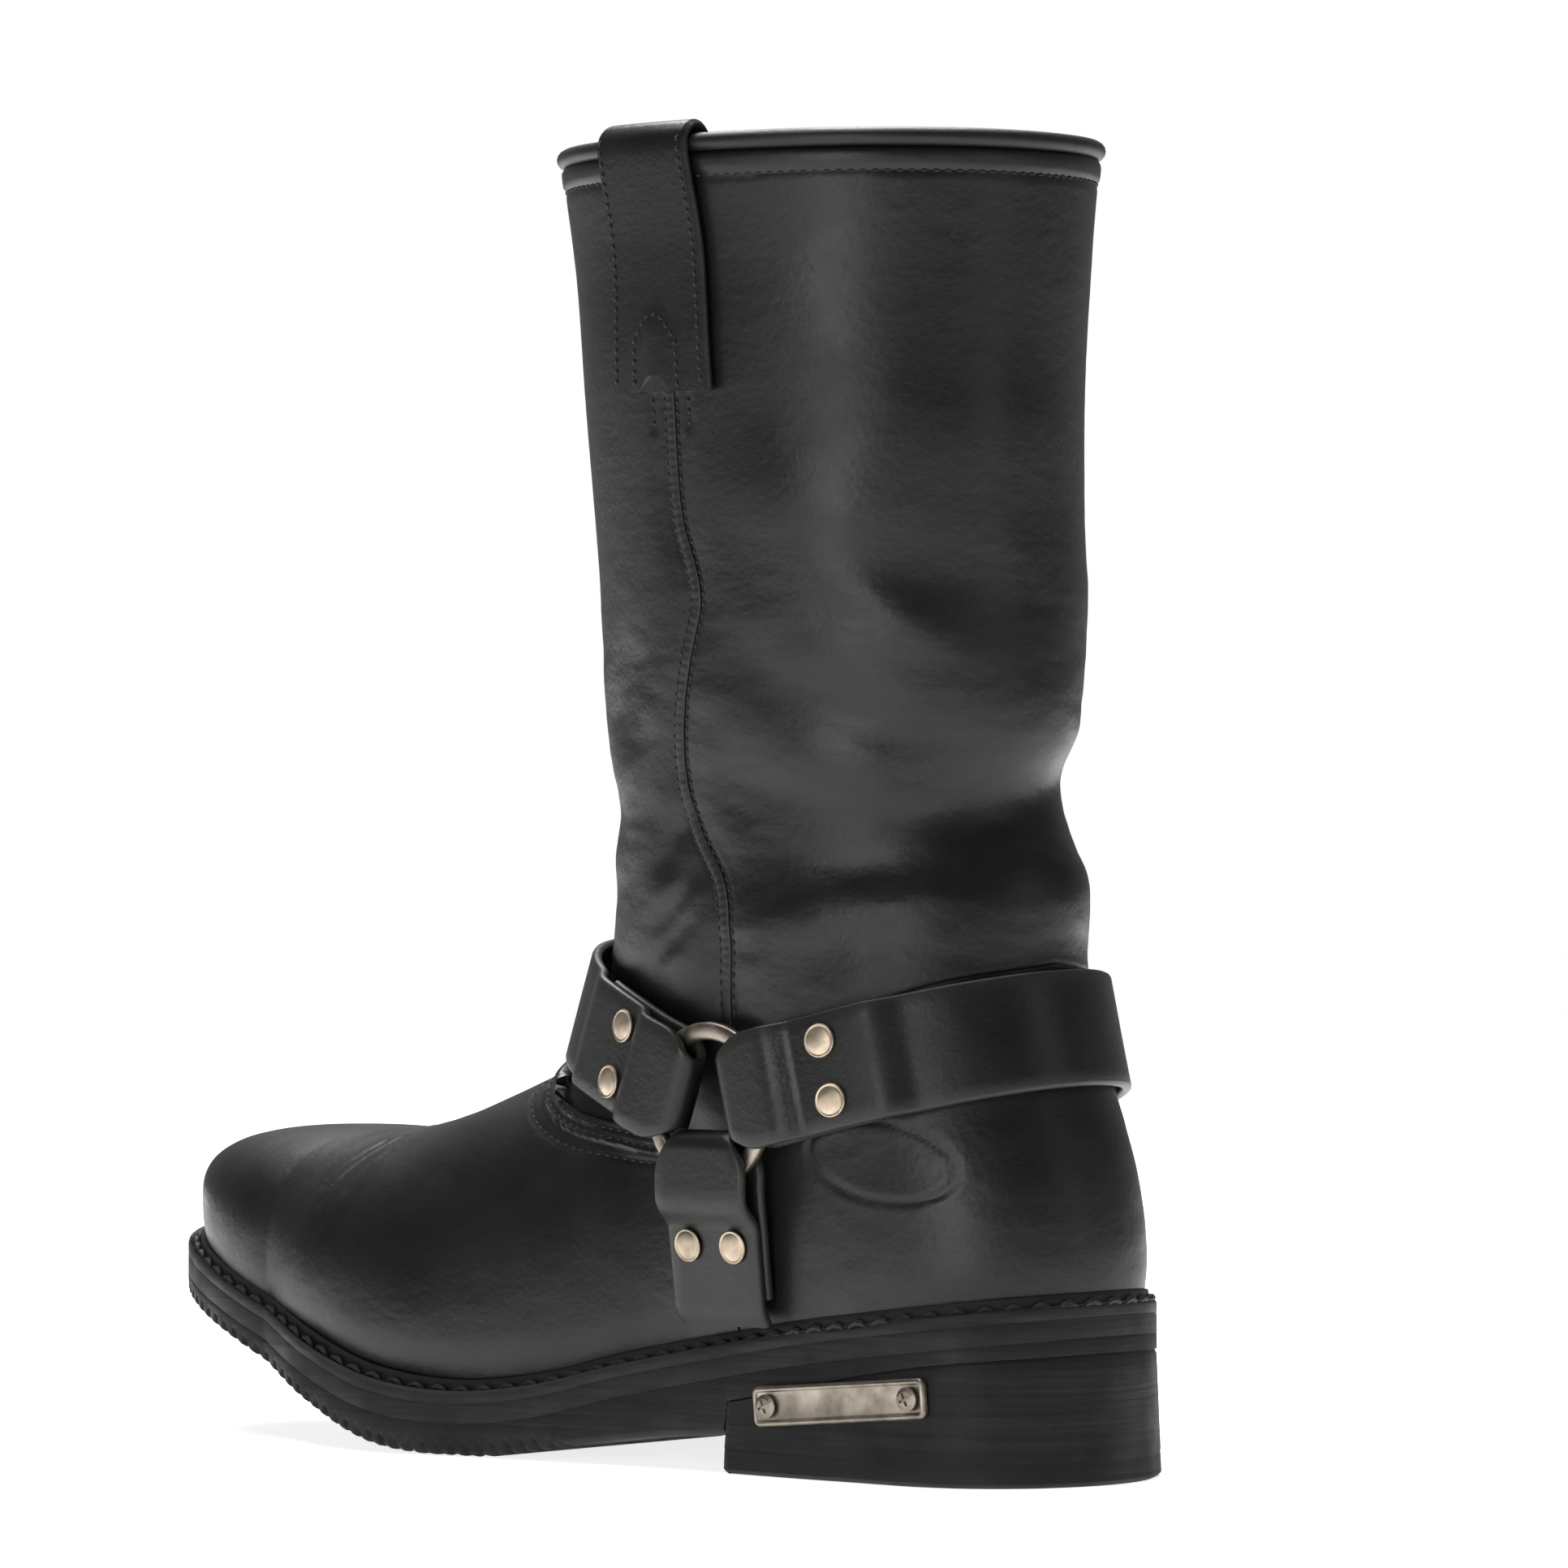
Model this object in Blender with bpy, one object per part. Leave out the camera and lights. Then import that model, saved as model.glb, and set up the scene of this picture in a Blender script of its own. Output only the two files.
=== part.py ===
"""A pull-on leather harness boot, the left one of a pair, built as the pieces a bootmaker puts together.

The boot's own frame has x running from the back of the heel to the toe, y to the outer (lateral) side and z up
from the floor. The empty "boot" carries everything and puts the middle of the sole over the world's origin.
"""
import math

import bmesh
import bpy
import numpy as np
from mathutils import Matrix, Vector

for leftover in list(bpy.data.objects):
    bpy.data.objects.remove(leftover, do_unlink=True)

# Driving dimensions, in metres
OUTSOLE_LENGTH = 0.306
OUTSOLE_WIDTH = 0.108
BOOT_HEIGHT = 0.322
UPPER_LEATHER = 0.0022
STRAP_WIDTH = 0.0285
STRAP_THICK = 0.0027
RING_DIAMETER = 0.040
RING_WIRE_WIDE = 0.0044
RING_WIRE_THICK = 0.0032
GAP = 0.0003

# The profiles below are drawn for the pattern size, a 306 mm sole; these grade them to another one.
LONG = OUTSOLE_LENGTH / 0.306
WIDE = OUTSOLE_WIDTH / 0.108
TALL = BOOT_HEIGHT / 0.322

# Layers of the upper, as depths under the pattern surface (negative stands proud of it)
LAP_PROUD = 0.0010
LINING = 0.0012
STIFFENER = 0.0010
STIFFENER_DEPTH = UPPER_LEATHER - LAP_PROUD + GAP
FOOT_LINING_DEPTH = STIFFENER_DEPTH + STIFFENER + 2 * GAP
LEG_LINING_DEPTH = UPPER_LEATHER + GAP
PIPING_RADIUS = 0.0023

# Layers of the sole, counted down from the welt's top at the feather line
WELT_THICK = 0.0034
WELT_RIDGE = 0.0022
WELT_CLEAR = LAP_PROUD + 0.0006
WELT_CHANNEL = (WELT_CLEAR + 0.0012, WELT_CLEAR + 0.0034)
WELT_LIP = 0.0008
CHANNEL_DEPTH = 0.0009
THREAD_RADIUS = 0.0007
MIDSOLE_THICK = 0.0042
SOLE_ROLL = (0.0060, 0.0024)
LUG_DEPTH = 0.0026
LUG_PITCH = 0.0105
LUG_GROOVE = 0.0030
LUG_DRAFT = 0.0004
TOP_LIFT = 0.0060
FILLER_THICK = 0.0021
BOARD_THICK = 0.0022
SOCK_THICK = 0.0030
SHANK_THICK = 0.0012
SHANK_WIDTH = 0.014
SHANK_END = 0.152 * LONG
HEEL_BREAST = 0.089 * LONG
WAIST_END = HEEL_BREAST + 0.048 * LONG
MIDSOLE_TOP = WELT_THICK + GAP
OUTSOLE_TOP = MIDSOLE_TOP + MIDSOLE_THICK + GAP

# The ring's place on the ankle and how the straps fold round it
RING_X = 0.0885 * LONG
RING_Y = 0.0470 * WIDE
RING_Z = 0.0890 * TALL
RING_REACH = RING_DIAMETER / 2 + 0.0018
FOLD_RADIUS = RING_WIRE_THICK / 2 + 1.5 * GAP + STRAP_THICK / 2
FOLD_START = RING_DIAMETER / 2 - RING_WIRE_WIDE - 0.0049
TAIL_LENGTH = 0.0360
RIVET_FRONT = 0.0224
RIVET_BACK = 0.0260
RIVET_DOWN = 0.0225
RIVET_SPACING = 0.0145
FRONT_STRAP_RISE = math.radians(19.6)
BACK_STRAP_RISE = math.radians(14.0)
STRAP_SWING = math.radians(3.0)
STRAP_CLEAR = 0.0011

RIVET_CAP = 0.0040
RIVET_POST = 0.0015
RIVET_FLANGE = 0.0024
RIVET_FLANGE_THICK = 0.0007
HOLE_CLEAR = 0.00025

# The heel's hardware and the pull straps
BADGE_LENGTH = 0.0520
BADGE_HEIGHT = 0.0097
BADGE_THICK = 0.0014
BADGE_X = 0.0527 * LONG
BADGE_Z = 0.0190 * TALL
BADGE_TILT = math.radians(5.0)
SCREW_HEAD = 0.0029
SCREW_SHANK = 0.0013
SCREW_LENGTH = 0.0110
NAIL_HEAD = 0.0024
NAIL_HEAD_THICK = 0.0008
NAIL_SHANK = 0.0011
NAIL_LENGTH = 0.0190
PULL_STRAP_THICK = 0.0026
PULL_STRAP_FOOT = 0.260 * TALL


def curve(*knots):
    """A smooth function through (place, value) knots, held level beyond the first and the last."""
    place, value = np.array(knots, float).T
    step = np.diff(place)
    slope = np.diff(value) / step
    inner = (slope[:-1] * step[1:] + slope[1:] * step[:-1]) / (step[1:] + step[:-1])
    tangent = np.concatenate([[slope[0]], inner, [slope[-1]]])

    def at(x):
        x = np.clip(np.asarray(x, float), place[0], place[-1])
        i = np.clip(np.searchsorted(place, x, side="right") - 1, 0, len(place) - 2)
        s = (x - place[i]) / step[i]
        rise = s * s * (3 - 2 * s)
        bend = step[i] * (s * (1 - s) ** 2 * tangent[i] - s * s * (1 - s) * tangent[i + 1])
        return value[i] + rise * (value[i + 1] - value[i]) + bend

    return at


# Sole, by place along the boot: the welt's top, the underside, and both sides of the outline
WELT_TOP = curve((0, 0.0435), (0.041, 0.0387), (0.066, 0.0354), (0.091, 0.0312), (0.126, 0.0244), (0.150, 0.0187),
                 (0.175, 0.0162), (0.199, 0.0187), (0.223, 0.0256), (0.248, 0.0346), (0.280, 0.0450),
                 (0.306, 0.0515))
SOLE_UNDER = curve((0.089, 0.0092), (0.120, 0.0066), (0.138, 0.0042), (0.152, 0.0018), (0.166, 0), (0.182, 0),
                   (0.197, 0.0016), (0.224, 0.0104), (0.250, 0.0208), (0.275, 0.0292), (0.306, 0.0380))
HEEL_SEAT = curve((0, 0.0314), (0.025, 0.0290), (0.089, 0.0175))
SOLE_LATERAL = curve((0.038, 0.0390), (0.075, 0.0400), (0.115, 0.0410), (0.160, 0.0475), (0.200, 0.0535),
                     (0.225, 0.0500), (0.245, 0.0435))
SOLE_MEDIAL = curve((0.038, -0.0390), (0.075, -0.0380), (0.115, -0.0360), (0.150, -0.0395), (0.185, -0.0480),
                    (0.215, -0.0545), (0.245, -0.0535))
SOLE_TOE = (0.240, 0.066)
SOLE_HEEL = (0.038, 0.038)
NARROWEST = 0.12

# Foot of the upper: widest lines of both sides, the ridge of the instep, and how square its sections are
FOOT_LATERAL = curve((0.040, 0.030), (0.090, 0.033), (0.120, 0.036), (0.150, 0.0415), (0.180, 0.0470),
                     (0.205, 0.0495), (0.225, 0.0465), (0.245, 0.0410))
FOOT_MEDIAL = curve((0.040, -0.030), (0.090, -0.031), (0.120, -0.031), (0.150, -0.036), (0.180, -0.043),
                    (0.205, -0.0480), (0.225, -0.0495), (0.245, -0.0490))
RIDGE = curve((0.040, 0.096), (0.090, 0.104), (0.120, 0.106), (0.150, 0.102), (0.170, 0.0950), (0.184, 0.0895),
              (0.200, 0.0835), (0.217, 0.0790), (0.235, 0.0768), (0.253, 0.0772), (0.284, 0.0795))
SQUARENESS = curve((0.060, 2.2), (0.120, 2.0), (0.180, 1.95), (0.220, 2.15), (0.260, 2.5), (0.300, 2.6))
FOOT_TOE = (0.240, 0.059)
FOOT_HEEL = (0.055, 0.042)
WIDEST_OVER_WELT = 0.013
UNDERCUT = 0.032

# Leg, by height: back, front, half width, and where the halves meet the widest line
LEG_BACK = curve((0.030, 0.0070), (0.050, 0.0035), (0.070, 0.0060), (0.090, 0.0115), (0.110, 0.0165),
                 (0.123, 0.0192), (0.139, 0.0196), (0.157, 0.0250), (0.179, 0.0224), (0.219, 0.0240),
                 (0.298, 0.0224), (0.322, 0.0205))
LEG_FRONT = curve((0.030, 0.120), (0.080, 0.125), (0.095, 0.138), (0.110, 0.1500), (0.123, 0.1520),
                  (0.131, 0.1505), (0.147, 0.1490), (0.163, 0.1480), (0.179, 0.1505), (0.219, 0.1525),
                  (0.258, 0.1555), (0.298, 0.1600), (0.322, 0.1630))
LEG_HALF_WIDTH = curve((0.030, 0.0350), (0.050, 0.0373), (0.080, 0.0385), (0.100, 0.0400), (0.130, 0.0435),
                       (0.160, 0.0440), (0.190, 0.0475), (0.220, 0.0500), (0.260, 0.0520), (0.298, 0.0540),
                       (0.322, 0.0570))
LEG_MIDDLE = curve((0.030, 0.052), (0.050, 0.054), (0.080, 0.062), (0.100, 0.074), (0.123, 0.088), (0.220, 0.090),
                   (0.322, 0.093))
LEG_ROUNDNESS = 2.1
INSTEP_BLEND = 0.021

# Lines cut across the surface: the side seam by height; the vamp's throat and the counter's top by degrees
# round the leg from straight ahead
SIDE_SEAM = curve((0.040, 0.0885), (0.112, 0.0880), (0.130, 0.0868), (0.142, 0.0885), (0.154, 0.0960),
                  (0.167, 0.1000), (0.179, 0.0995), (0.198, 0.0950), (0.210, 0.0915), (0.230, 0.0965),
                  (0.257, 0.0975), (0.322, 0.0985))
THROAT = curve((0, 0.0985), (8, 0.0965), (16, 0.0905), (25, 0.0845), (36, 0.0820), (60, 0.0814), (90, 0.0820))
COUNTER_TOP = curve((90, 0.0820), (105, 0.0970), (120, 0.1065), (138, 0.1130), (155, 0.1190), (180, 0.1230))
RIDGE_END = 0.262
SEAM_ANGLE = GAP / 2 / 0.036
UPWARD = np.array([0.0, 0.0, 1.0])


def field(x, y, z):
    """Below zero inside the boot, zero on its pattern surface: a foot and a leg, blended at the instep."""
    x = x / LONG
    y = y / WIDE
    z = z / TALL
    middle = LEG_MIDDLE(z)
    reach = np.where(x > middle, LEG_FRONT(z) - middle, middle - LEG_BACK(z))
    around = (np.abs(x - middle) / reach) ** LEG_ROUNDNESS + (np.abs(y) / LEG_HALF_WIDTH(z)) ** LEG_ROUNDNESS
    leg = 0.048 * (around ** (1 / LEG_ROUNDNESS) - 1)
    lateral = FOOT_LATERAL(x)
    medial = FOOT_MEDIAL(x)
    along = np.maximum((x - FOOT_TOE[0]) / FOOT_TOE[1], 0) + np.maximum((FOOT_HEEL[0] - x) / FOOT_HEEL[1], 0)
    across = (y - (lateral + medial) / 2) / ((lateral - medial) / 2)
    widest = WELT_TOP(x) + WIDEST_OVER_WELT
    up = np.where(z > widest, (z - widest) / np.maximum(RIDGE(x) - widest, 0.005), (widest - z) / UNDERCUT)
    power = SQUARENESS(x)
    foot = 0.045 * (((along ** 2 + across ** 2) ** (power / 2) + np.abs(up) ** power) ** (1 / power) - 1)
    near = np.maximum(INSTEP_BLEND - np.abs(leg - foot), 0) / INSTEP_BLEND
    return np.minimum(leg, foot) - near * near * INSTEP_BLEND / 4


def shoot(start, heading, reach=0.24, shape=field):
    """Where rays from inside a shape leave it."""
    near = np.zeros(len(start))
    far = np.full(len(start), reach)
    for _ in range(36):
        half = (near + far) / 2
        inside = shape(*(start + half[:, None] * heading).T) < 0
        near = np.where(inside, half, near)
        far = np.where(inside, far, half)
    return start + far[:, None] * heading


def normals(points):
    """Unit vectors straight out of the pattern surface."""
    nudge = 2e-4
    flat = points.reshape(-1, 3)
    slope = [field(*(flat + nudge * axis).T) - field(*(flat - nudge * axis).T) for axis in np.eye(3)]
    slope = np.array(slope).T
    return (slope / np.linalg.norm(slope, axis=1)[:, None]).reshape(points.shape)


def even(line, count):
    """The same line with its points at equal distances."""
    length = np.concatenate([[0], np.cumsum(np.linalg.norm(np.diff(line, axis=0), axis=1))])
    wanted = np.linspace(0, length[-1], count)
    return np.array([np.interp(wanted, length, line[:, i]) for i in range(line.shape[1])]).T


def on_leg(z, degrees):
    """Points of the surface at heights z, looking out from the side seam's plane in one direction."""
    z = np.atleast_1d(np.asarray(z, float))
    angle = math.radians(degrees)
    start = np.stack([SIDE_SEAM(z / TALL) * LONG, 0 * z, z], axis=1)
    return shoot(start, np.tile([math.cos(angle), math.sin(angle), 0], (len(z), 1)))


def foot_centre(x):
    return (FOOT_LATERAL(x / LONG) + FOOT_MEDIAL(x / LONG)) / 2 * WIDE


def feather(place, side, drop=0.0):
    """A point of the upper's lower edge. Past the toe's centre, place turns round the toe instead."""
    centre = FOOT_TOE[0] * LONG
    turn = max(0.0, (place - centre) / (FOOT_TOE[1] * LONG)) * math.pi / 2
    x = min(place, centre)
    heading = np.array([[math.sin(turn), side * math.cos(turn), 0]])
    point = np.array([x, 0, 0])
    for _ in range(6):
        z = WELT_TOP(point[0] / LONG) * TALL - drop
        point = shoot(np.array([[x, foot_centre(x), z]]), heading)[0]
    return point


def heel_feather(degrees, drop=0.0):
    """The same round the heel, by direction from the side seam."""
    z = WELT_TOP(0.05) * TALL
    for _ in range(6):
        point = on_leg(z, degrees)[0]
        z = WELT_TOP(point[0] / LONG) * TALL - drop
    return point


def fan(low, high, count):
    """A line over the foot's surface from one point to another, seen from a centre inside the foot."""
    x = min((low[0] + high[0]) / 2, 0.243 * LONG)
    centre = np.array([x, foot_centre(x), (WELT_TOP(x / LONG) + 0.022) * TALL])
    first = (low - centre) / np.linalg.norm(low - centre)
    last = (high - centre) / np.linalg.norm(high - centre)
    turn = math.acos(float(np.clip(first @ last, -1, 1)))
    share = np.linspace(0, 1, count)[:, None]
    heading = (np.sin((1 - share) * turn) * first + np.sin(share * turn) * last) / math.sin(turn)
    return shoot(np.tile(centre, (count, 1)), heading)


# Materials


def material(name, colour, roughness, metallic=0.0):
    made = bpy.data.materials.new(name)
    made.use_nodes = True
    shader = made.node_tree.nodes["Principled BSDF"]
    shader.inputs["Base Color"].default_value = (*colour, 1)
    shader.inputs["Roughness"].default_value = roughness
    shader.inputs["Metallic"].default_value = metallic
    made.diffuse_color = (*colour, 1)
    return made


UPPER = material("upper_leather", (0.030, 0.031, 0.029), 0.42)
STRAP = material("strap_leather", (0.036, 0.036, 0.033), 0.38)
EDGING = material("edge_leather", (0.022, 0.022, 0.020), 0.55)
LINING_LEATHER = material("lining_leather", (0.060, 0.050, 0.042), 0.80)
RUBBER = material("sole_rubber", (0.022, 0.022, 0.022), 0.62)
THREAD = material("waxed_thread", (0.018, 0.018, 0.018), 0.60)
NICKEL = material("antique_nickel", (0.62, 0.57, 0.50), 0.34, 1.0)
BOARD = material("fibre_board", (0.36, 0.27, 0.18), 0.85)
CORK = material("cork", (0.42, 0.29, 0.16), 0.90)
STEEL = material("steel", (0.55, 0.55, 0.56), 0.30, 1.0)
STIFF_FELT = material("stiffener_board", (0.30, 0.28, 0.25), 0.85)

# Building objects


def empty(name, place, parent=None):
    made = bpy.data.objects.new(name, None)
    bpy.context.collection.objects.link(made)
    made.location = place
    made.parent = parent
    return made


def add(name, mesh_maker, skin, parent, origin=(0, 0, 0), crease=35):
    """A new object whose mesh is made in the boot's frame and then counted from its own origin."""
    made = bmesh.new()
    mesh_maker(made)
    bmesh.ops.recalc_face_normals(made, faces=made.faces)
    bmesh.ops.translate(made, verts=made.verts, vec=-Vector(origin))
    mesh = bpy.data.meshes.new(name)
    made.to_mesh(mesh)
    made.free()
    mesh.materials.append(skin)
    mesh.shade_smooth()
    mesh.set_sharp_from_angle(angle=math.radians(crease))
    built = bpy.data.objects.new(name, mesh)
    bpy.context.collection.objects.link(built)
    built.parent = parent
    built.location = Vector(origin) - parent.location if parent is not BOOT else Vector(origin)
    return built


def shell(grids, top, under):
    """A maker of the solid between two skins over the same grids, which join where their points meet.

    Both skins are split along the same diagonals, so that layers on the same grids never cross.
    """

    def key_of(point):
        return tuple(np.round(point * 1e5).astype(int))

    def make(mesh):
        corners = ({}, {})
        for grid in grids:
            for point, outward in zip(grid.reshape(-1, 3), normals(grid).reshape(-1, 3)):
                for skin, depth in zip(corners, (top, under)):
                    if key_of(point) not in skin:
                        skin[key_of(point)] = mesh.verts.new(point - outward * depth)
        edges = {}
        for grid in grids:
            keys = [[key_of(point) for point in row] for row in grid]
            for row, following in zip(keys, keys[1:]):
                for a, b, c, d in zip(row, row[1:], following[1:], following):
                    for face in ((a, b, c), (a, c, d)):
                        if len(set(face)) < 3:
                            continue
                        mesh.faces.new([corners[0][key] for key in face])
                        mesh.faces.new([corners[1][key] for key in reversed(face)])
                        for edge in zip(face, face[1:] + face[:1]):
                            edges.setdefault(frozenset(edge), []).append(edge)
        for uses in edges.values():
            if len(uses) == 1:
                a, b = uses[0]
                mesh.faces.new([corners[0][b], corners[0][a], corners[1][a], corners[1][b]])

    return make


def loft(rings, closed=False):
    """A maker of the solid through matching rings of points, capped at both ends unless it closes on itself."""

    def make(mesh):
        made = [[mesh.verts.new(point) for point in ring] for ring in rings]
        pairs = list(zip(made, made[1:]))
        if closed:
            pairs.append((made[-1], made[0]))
        for one, other in pairs:
            for i in range(len(one)):
                mesh.faces.new([one[i - 1], one[i], other[i], other[i - 1]])
        if not closed:
            mesh.faces.new(made[0])
            mesh.faces.new(list(reversed(made[-1])))

    return make


def turned(profile, steps=20):
    """A maker of a round solid about z from (radius, height) points that start and end on the axis."""

    def make(mesh):
        middle = [
            [mesh.verts.new((r * math.cos(a), r * math.sin(a), h)) for a in np.arange(steps) * 2 * math.pi / steps]
            for r, h in profile[1:-1]
        ]
        first = mesh.verts.new((0, 0, profile[0][1]))
        last = mesh.verts.new((0, 0, profile[-1][1]))
        for i in range(steps):
            mesh.faces.new([first, middle[0][i - 1], middle[0][i]])
            mesh.faces.new([last, middle[-1][i], middle[-1][i - 1]])
            for one, other in zip(middle, middle[1:]):
                mesh.faces.new([one[i], one[i - 1], other[i - 1], other[i]])

    return make


def stand(built, matrix, parent):
    """Puts an object made about its own z axis into place."""
    built.parent = parent
    shift = Matrix.Identity(4) if parent is BOOT else Matrix.Translation(-parent.location)
    built.matrix_local = shift @ matrix


def cut(target, cutter):
    cutter.hide_render = True
    cutter.display_type = "WIRE"
    bite = target.modifiers.new(cutter.name, "BOOLEAN")
    bite.operation = "DIFFERENCE"
    bite.object = cutter


BOOT = empty("boot", (-OUTSOLE_LENGTH / 2, 0, 0))

# The upper


def joint_height(degrees, gap=0.0):
    """Where the leg ends: at the vamp's throat in front, at the counter's top behind."""
    turn = abs((degrees + 180) % 360 - 180)
    line = THROAT if turn <= 90 else COUNTER_TOP
    return (float(line(turn)) + gap) * TALL


def leg_lines(degrees):
    """Lines down the leg, level with each other as far as the ankle and evenly spread below it."""
    lines = []
    for angle in degrees:
        straight = on_leg(np.linspace(LEG_TOP, ANKLE, ANKLE_ROW + 1), angle)
        lower = on_leg(np.linspace(ANKLE, joint_height(angle, GAP), 40), angle)
        lines.append(np.concatenate([straight[:-1], even(lower, LOWER_ROWS)]))
    return np.array(lines)


def counter_lines(degrees):
    """Lines from the welt up the heel to the counter's top."""
    lines = []
    for angle in degrees:
        low = heel_feather(angle, FEATHER_DROP)[2]
        lines.append(even(on_leg(np.linspace(low, joint_height(angle), 40), angle), COUNTER_ROWS))
    return np.array(lines)


def vamp_half(side):
    """Half the forefoot: lines from the welt up to the throat, then up to the ridge, as far as the toe's tip."""
    lines = []
    for angle in THROAT_ANGLES:
        high = on_leg(joint_height(angle, -GAP), side * angle)[0]
        lines.append(fan(feather(high[0], side, FEATHER_DROP), high, VAMP_ROWS))
    start = on_leg(joint_height(0, -GAP), 0)[0][0]
    toe = (FOOT_TOE[0] + FOOT_TOE[1]) * LONG
    for share in np.linspace(0, 1, TOE_LINES):
        x = start + share * (RIDGE_END * LONG - start)
        low = np.array([[x, foot_centre(x), (WELT_TOP(x / LONG) + 0.022) * TALL]])
        high = shoot(low, np.array([[0.0, 0.0, 1.0]]))[0]
        lines.append(fan(feather(start + share * (toe - start), side, FEATHER_DROP), high, VAMP_ROWS))
    return np.array(lines)


LEG_TOP = BOOT_HEIGHT - 2 * PIPING_RADIUS - GAP
ANKLE = 0.128 * TALL
ANKLE_ROW = 12
LOWER_ROWS = 5
COUNTER_ROWS = 8
VAMP_ROWS = 8
TOE_LINES = 11
FEATHER_DROP = WELT_THICK - 0.0010
EDGE = 90 - math.degrees(SEAM_ANGLE)
THROAT_ANGLES = [EDGE, 66, 48, 36, 26, 18, 9]
FRONT_ANGLES = [-angle for angle in THROAT_ANGLES] + [0] + THROAT_ANGLES[::-1]
BACK_ANGLES = np.linspace(180 - EDGE, 180 + EDGE, 13)
STIFF_TOE_LINES = 7


def build_upper():
    """The four leathers, the linings behind them and the stiffeners between, all on the same lines."""
    vamp = [vamp_half(1), vamp_half(-1)]
    heel = counter_lines(BACK_ANGLES)
    around = [*FRONT_ANGLES[1:-1], 90, *BACK_ANGLES[1:-1], 270]
    leg = leg_lines([*around, around[0]])
    pieces = (
        ("shaft_front", [leg_lines(FRONT_ANGLES)], 0, UPPER_LEATHER, UPPER),
        ("shaft_back", [leg_lines(BACK_ANGLES)], 0, UPPER_LEATHER, UPPER),
        ("vamp", vamp, -LAP_PROUD, UPPER_LEATHER, UPPER),
        ("counter", [heel], -LAP_PROUD, UPPER_LEATHER, UPPER),
        ("toe_puff", [half[-STIFF_TOE_LINES:] for half in vamp], STIFFENER_DEPTH, STIFFENER, STIFF_FELT),
        ("heel_stiffener", [heel[2:-2, :6]], STIFFENER_DEPTH, STIFFENER, STIFF_FELT),
        ("vamp_lining", vamp, FOOT_LINING_DEPTH, LINING, LINING_LEATHER),
        ("heel_lining", [heel], FOOT_LINING_DEPTH, LINING, LINING_LEATHER),
        ("shaft_lining", [leg], LEG_LINING_DEPTH, LINING, LINING_LEATHER),
    )
    for name, grids, depth, thick, skin in pieces:
        add(name, shell(grids, depth, depth + thick), skin, BOOT)
    lowest = [line[0] for line in vamp[0]] + [line[0] for line in vamp[1][-2::-1]] + [line[0] for line in heel[::-1]]
    return np.array(lowest)


def build_piping():
    centre_depth = (LEG_LINING_DEPTH + LINING) / 2
    rings = []
    for angle in [*FRONT_ANGLES[1:-1], 90, *BACK_ANGLES[1:-1], 270]:
        point = on_leg(LEG_TOP, angle)[0]
        out = normals(point[None])[0] * [1, 1, 0]
        out /= np.linalg.norm(out)
        centre = point - out * centre_depth + (GAP + PIPING_RADIUS) * UPWARD
        turns = np.arange(6) * math.pi / 3
        rings.append([centre + PIPING_RADIUS * (math.cos(turn) * out + math.sin(turn) * UPWARD) for turn in turns])
    add("rim_piping", loft(rings, closed=True), EDGING, BOOT)


def build_seam_strip(name, side):
    """A narrow strip over the side seam, from the pull strap down to the ring."""
    width = 0.0042
    thick = 0.0011
    rings = []
    for z in np.linspace(PULL_STRAP_FOOT - 0.004, RING_Z + RING_DIAMETER / 2 + 0.004, 19):
        x = float(SIDE_SEAM(z / TALL)) * LONG
        section = []
        for across, lift in ((-1, GAP), (1, GAP), (1, GAP + thick), (-1, GAP + thick)):
            start = np.array([[x + across * width / 2, 0, z]])
            point = shoot(start, np.array([[0.0, side, 0.0]]))
            section.append(point[0] + normals(point)[0] * lift)
        rings.append(section)
    add(name, loft(rings), EDGING, BOOT)


def build_pull_strap(name, side):
    """A strap sewn to the leg, over the rim and down inside, bent to the leg's own curve across its width."""
    rim_z = LEG_TOP + GAP + PIPING_RADIUS
    mid_wall = (LEG_LINING_DEPTH + LINING) / 2
    inner_radius = max(PIPING_RADIUS, mid_wall) + GAP + 0.0004
    path = [(inner_radius, z) for z in np.linspace(PULL_STRAP_FOOT, rim_z, 6)]
    turns = np.linspace(0, math.pi, 7)[1:-1]
    path += [(inner_radius * math.cos(t), rim_z + inner_radius * math.sin(t)) for t in turns]
    path += [(-inner_radius, z) for z in np.linspace(rim_z, PULL_STRAP_FOOT + 0.012, 4)]
    outer = inner_radius + PULL_STRAP_THICK
    scale = outer / inner_radius
    rings = []
    for away, z in path:
        if z > rim_z:
            far = (away * scale, rim_z + (z - rim_z) * scale)
        else:
            far = (away * scale, z)
        flare = 0.0010 * np.clip((rim_z - z) / (rim_z - PULL_STRAP_FOOT), 0, 1)
        across = np.linspace(-1, 1, 4) * (STRAP_WIDTH / 2 + flare)
        near_side = []
        far_side = []
        for shift in across:
            level = min(z, LEG_TOP)
            start = np.array([[float(SIDE_SEAM(level / TALL)) * LONG + shift, 0, level]])
            wall = shoot(start, np.array([[0.0, side, 0.0]]))
            out = normals(wall)[0] * [1, 1, 0]
            out /= np.linalg.norm(out)
            base = wall[0] - out * mid_wall
            near_side.append(base + out * away + [0, 0, z - level])
            far_side.append(base + out * far[0] + [0, 0, far[1] - level])
        rings.append(near_side + far_side[::-1])
    add(name, loft(rings), STRAP, BOOT)


# The sole


def sole_end(x):
    """The share of its full width that the sole has at one place, near a rounded end."""
    drawn = x / LONG
    end = max((drawn - SOLE_TOE[0]) / SOLE_TOE[1], (SOLE_HEEL[0] - drawn) / SOLE_HEEL[1], 0)
    return max(NARROWEST, math.sqrt(max(0, 1 - end * end)))


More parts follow.
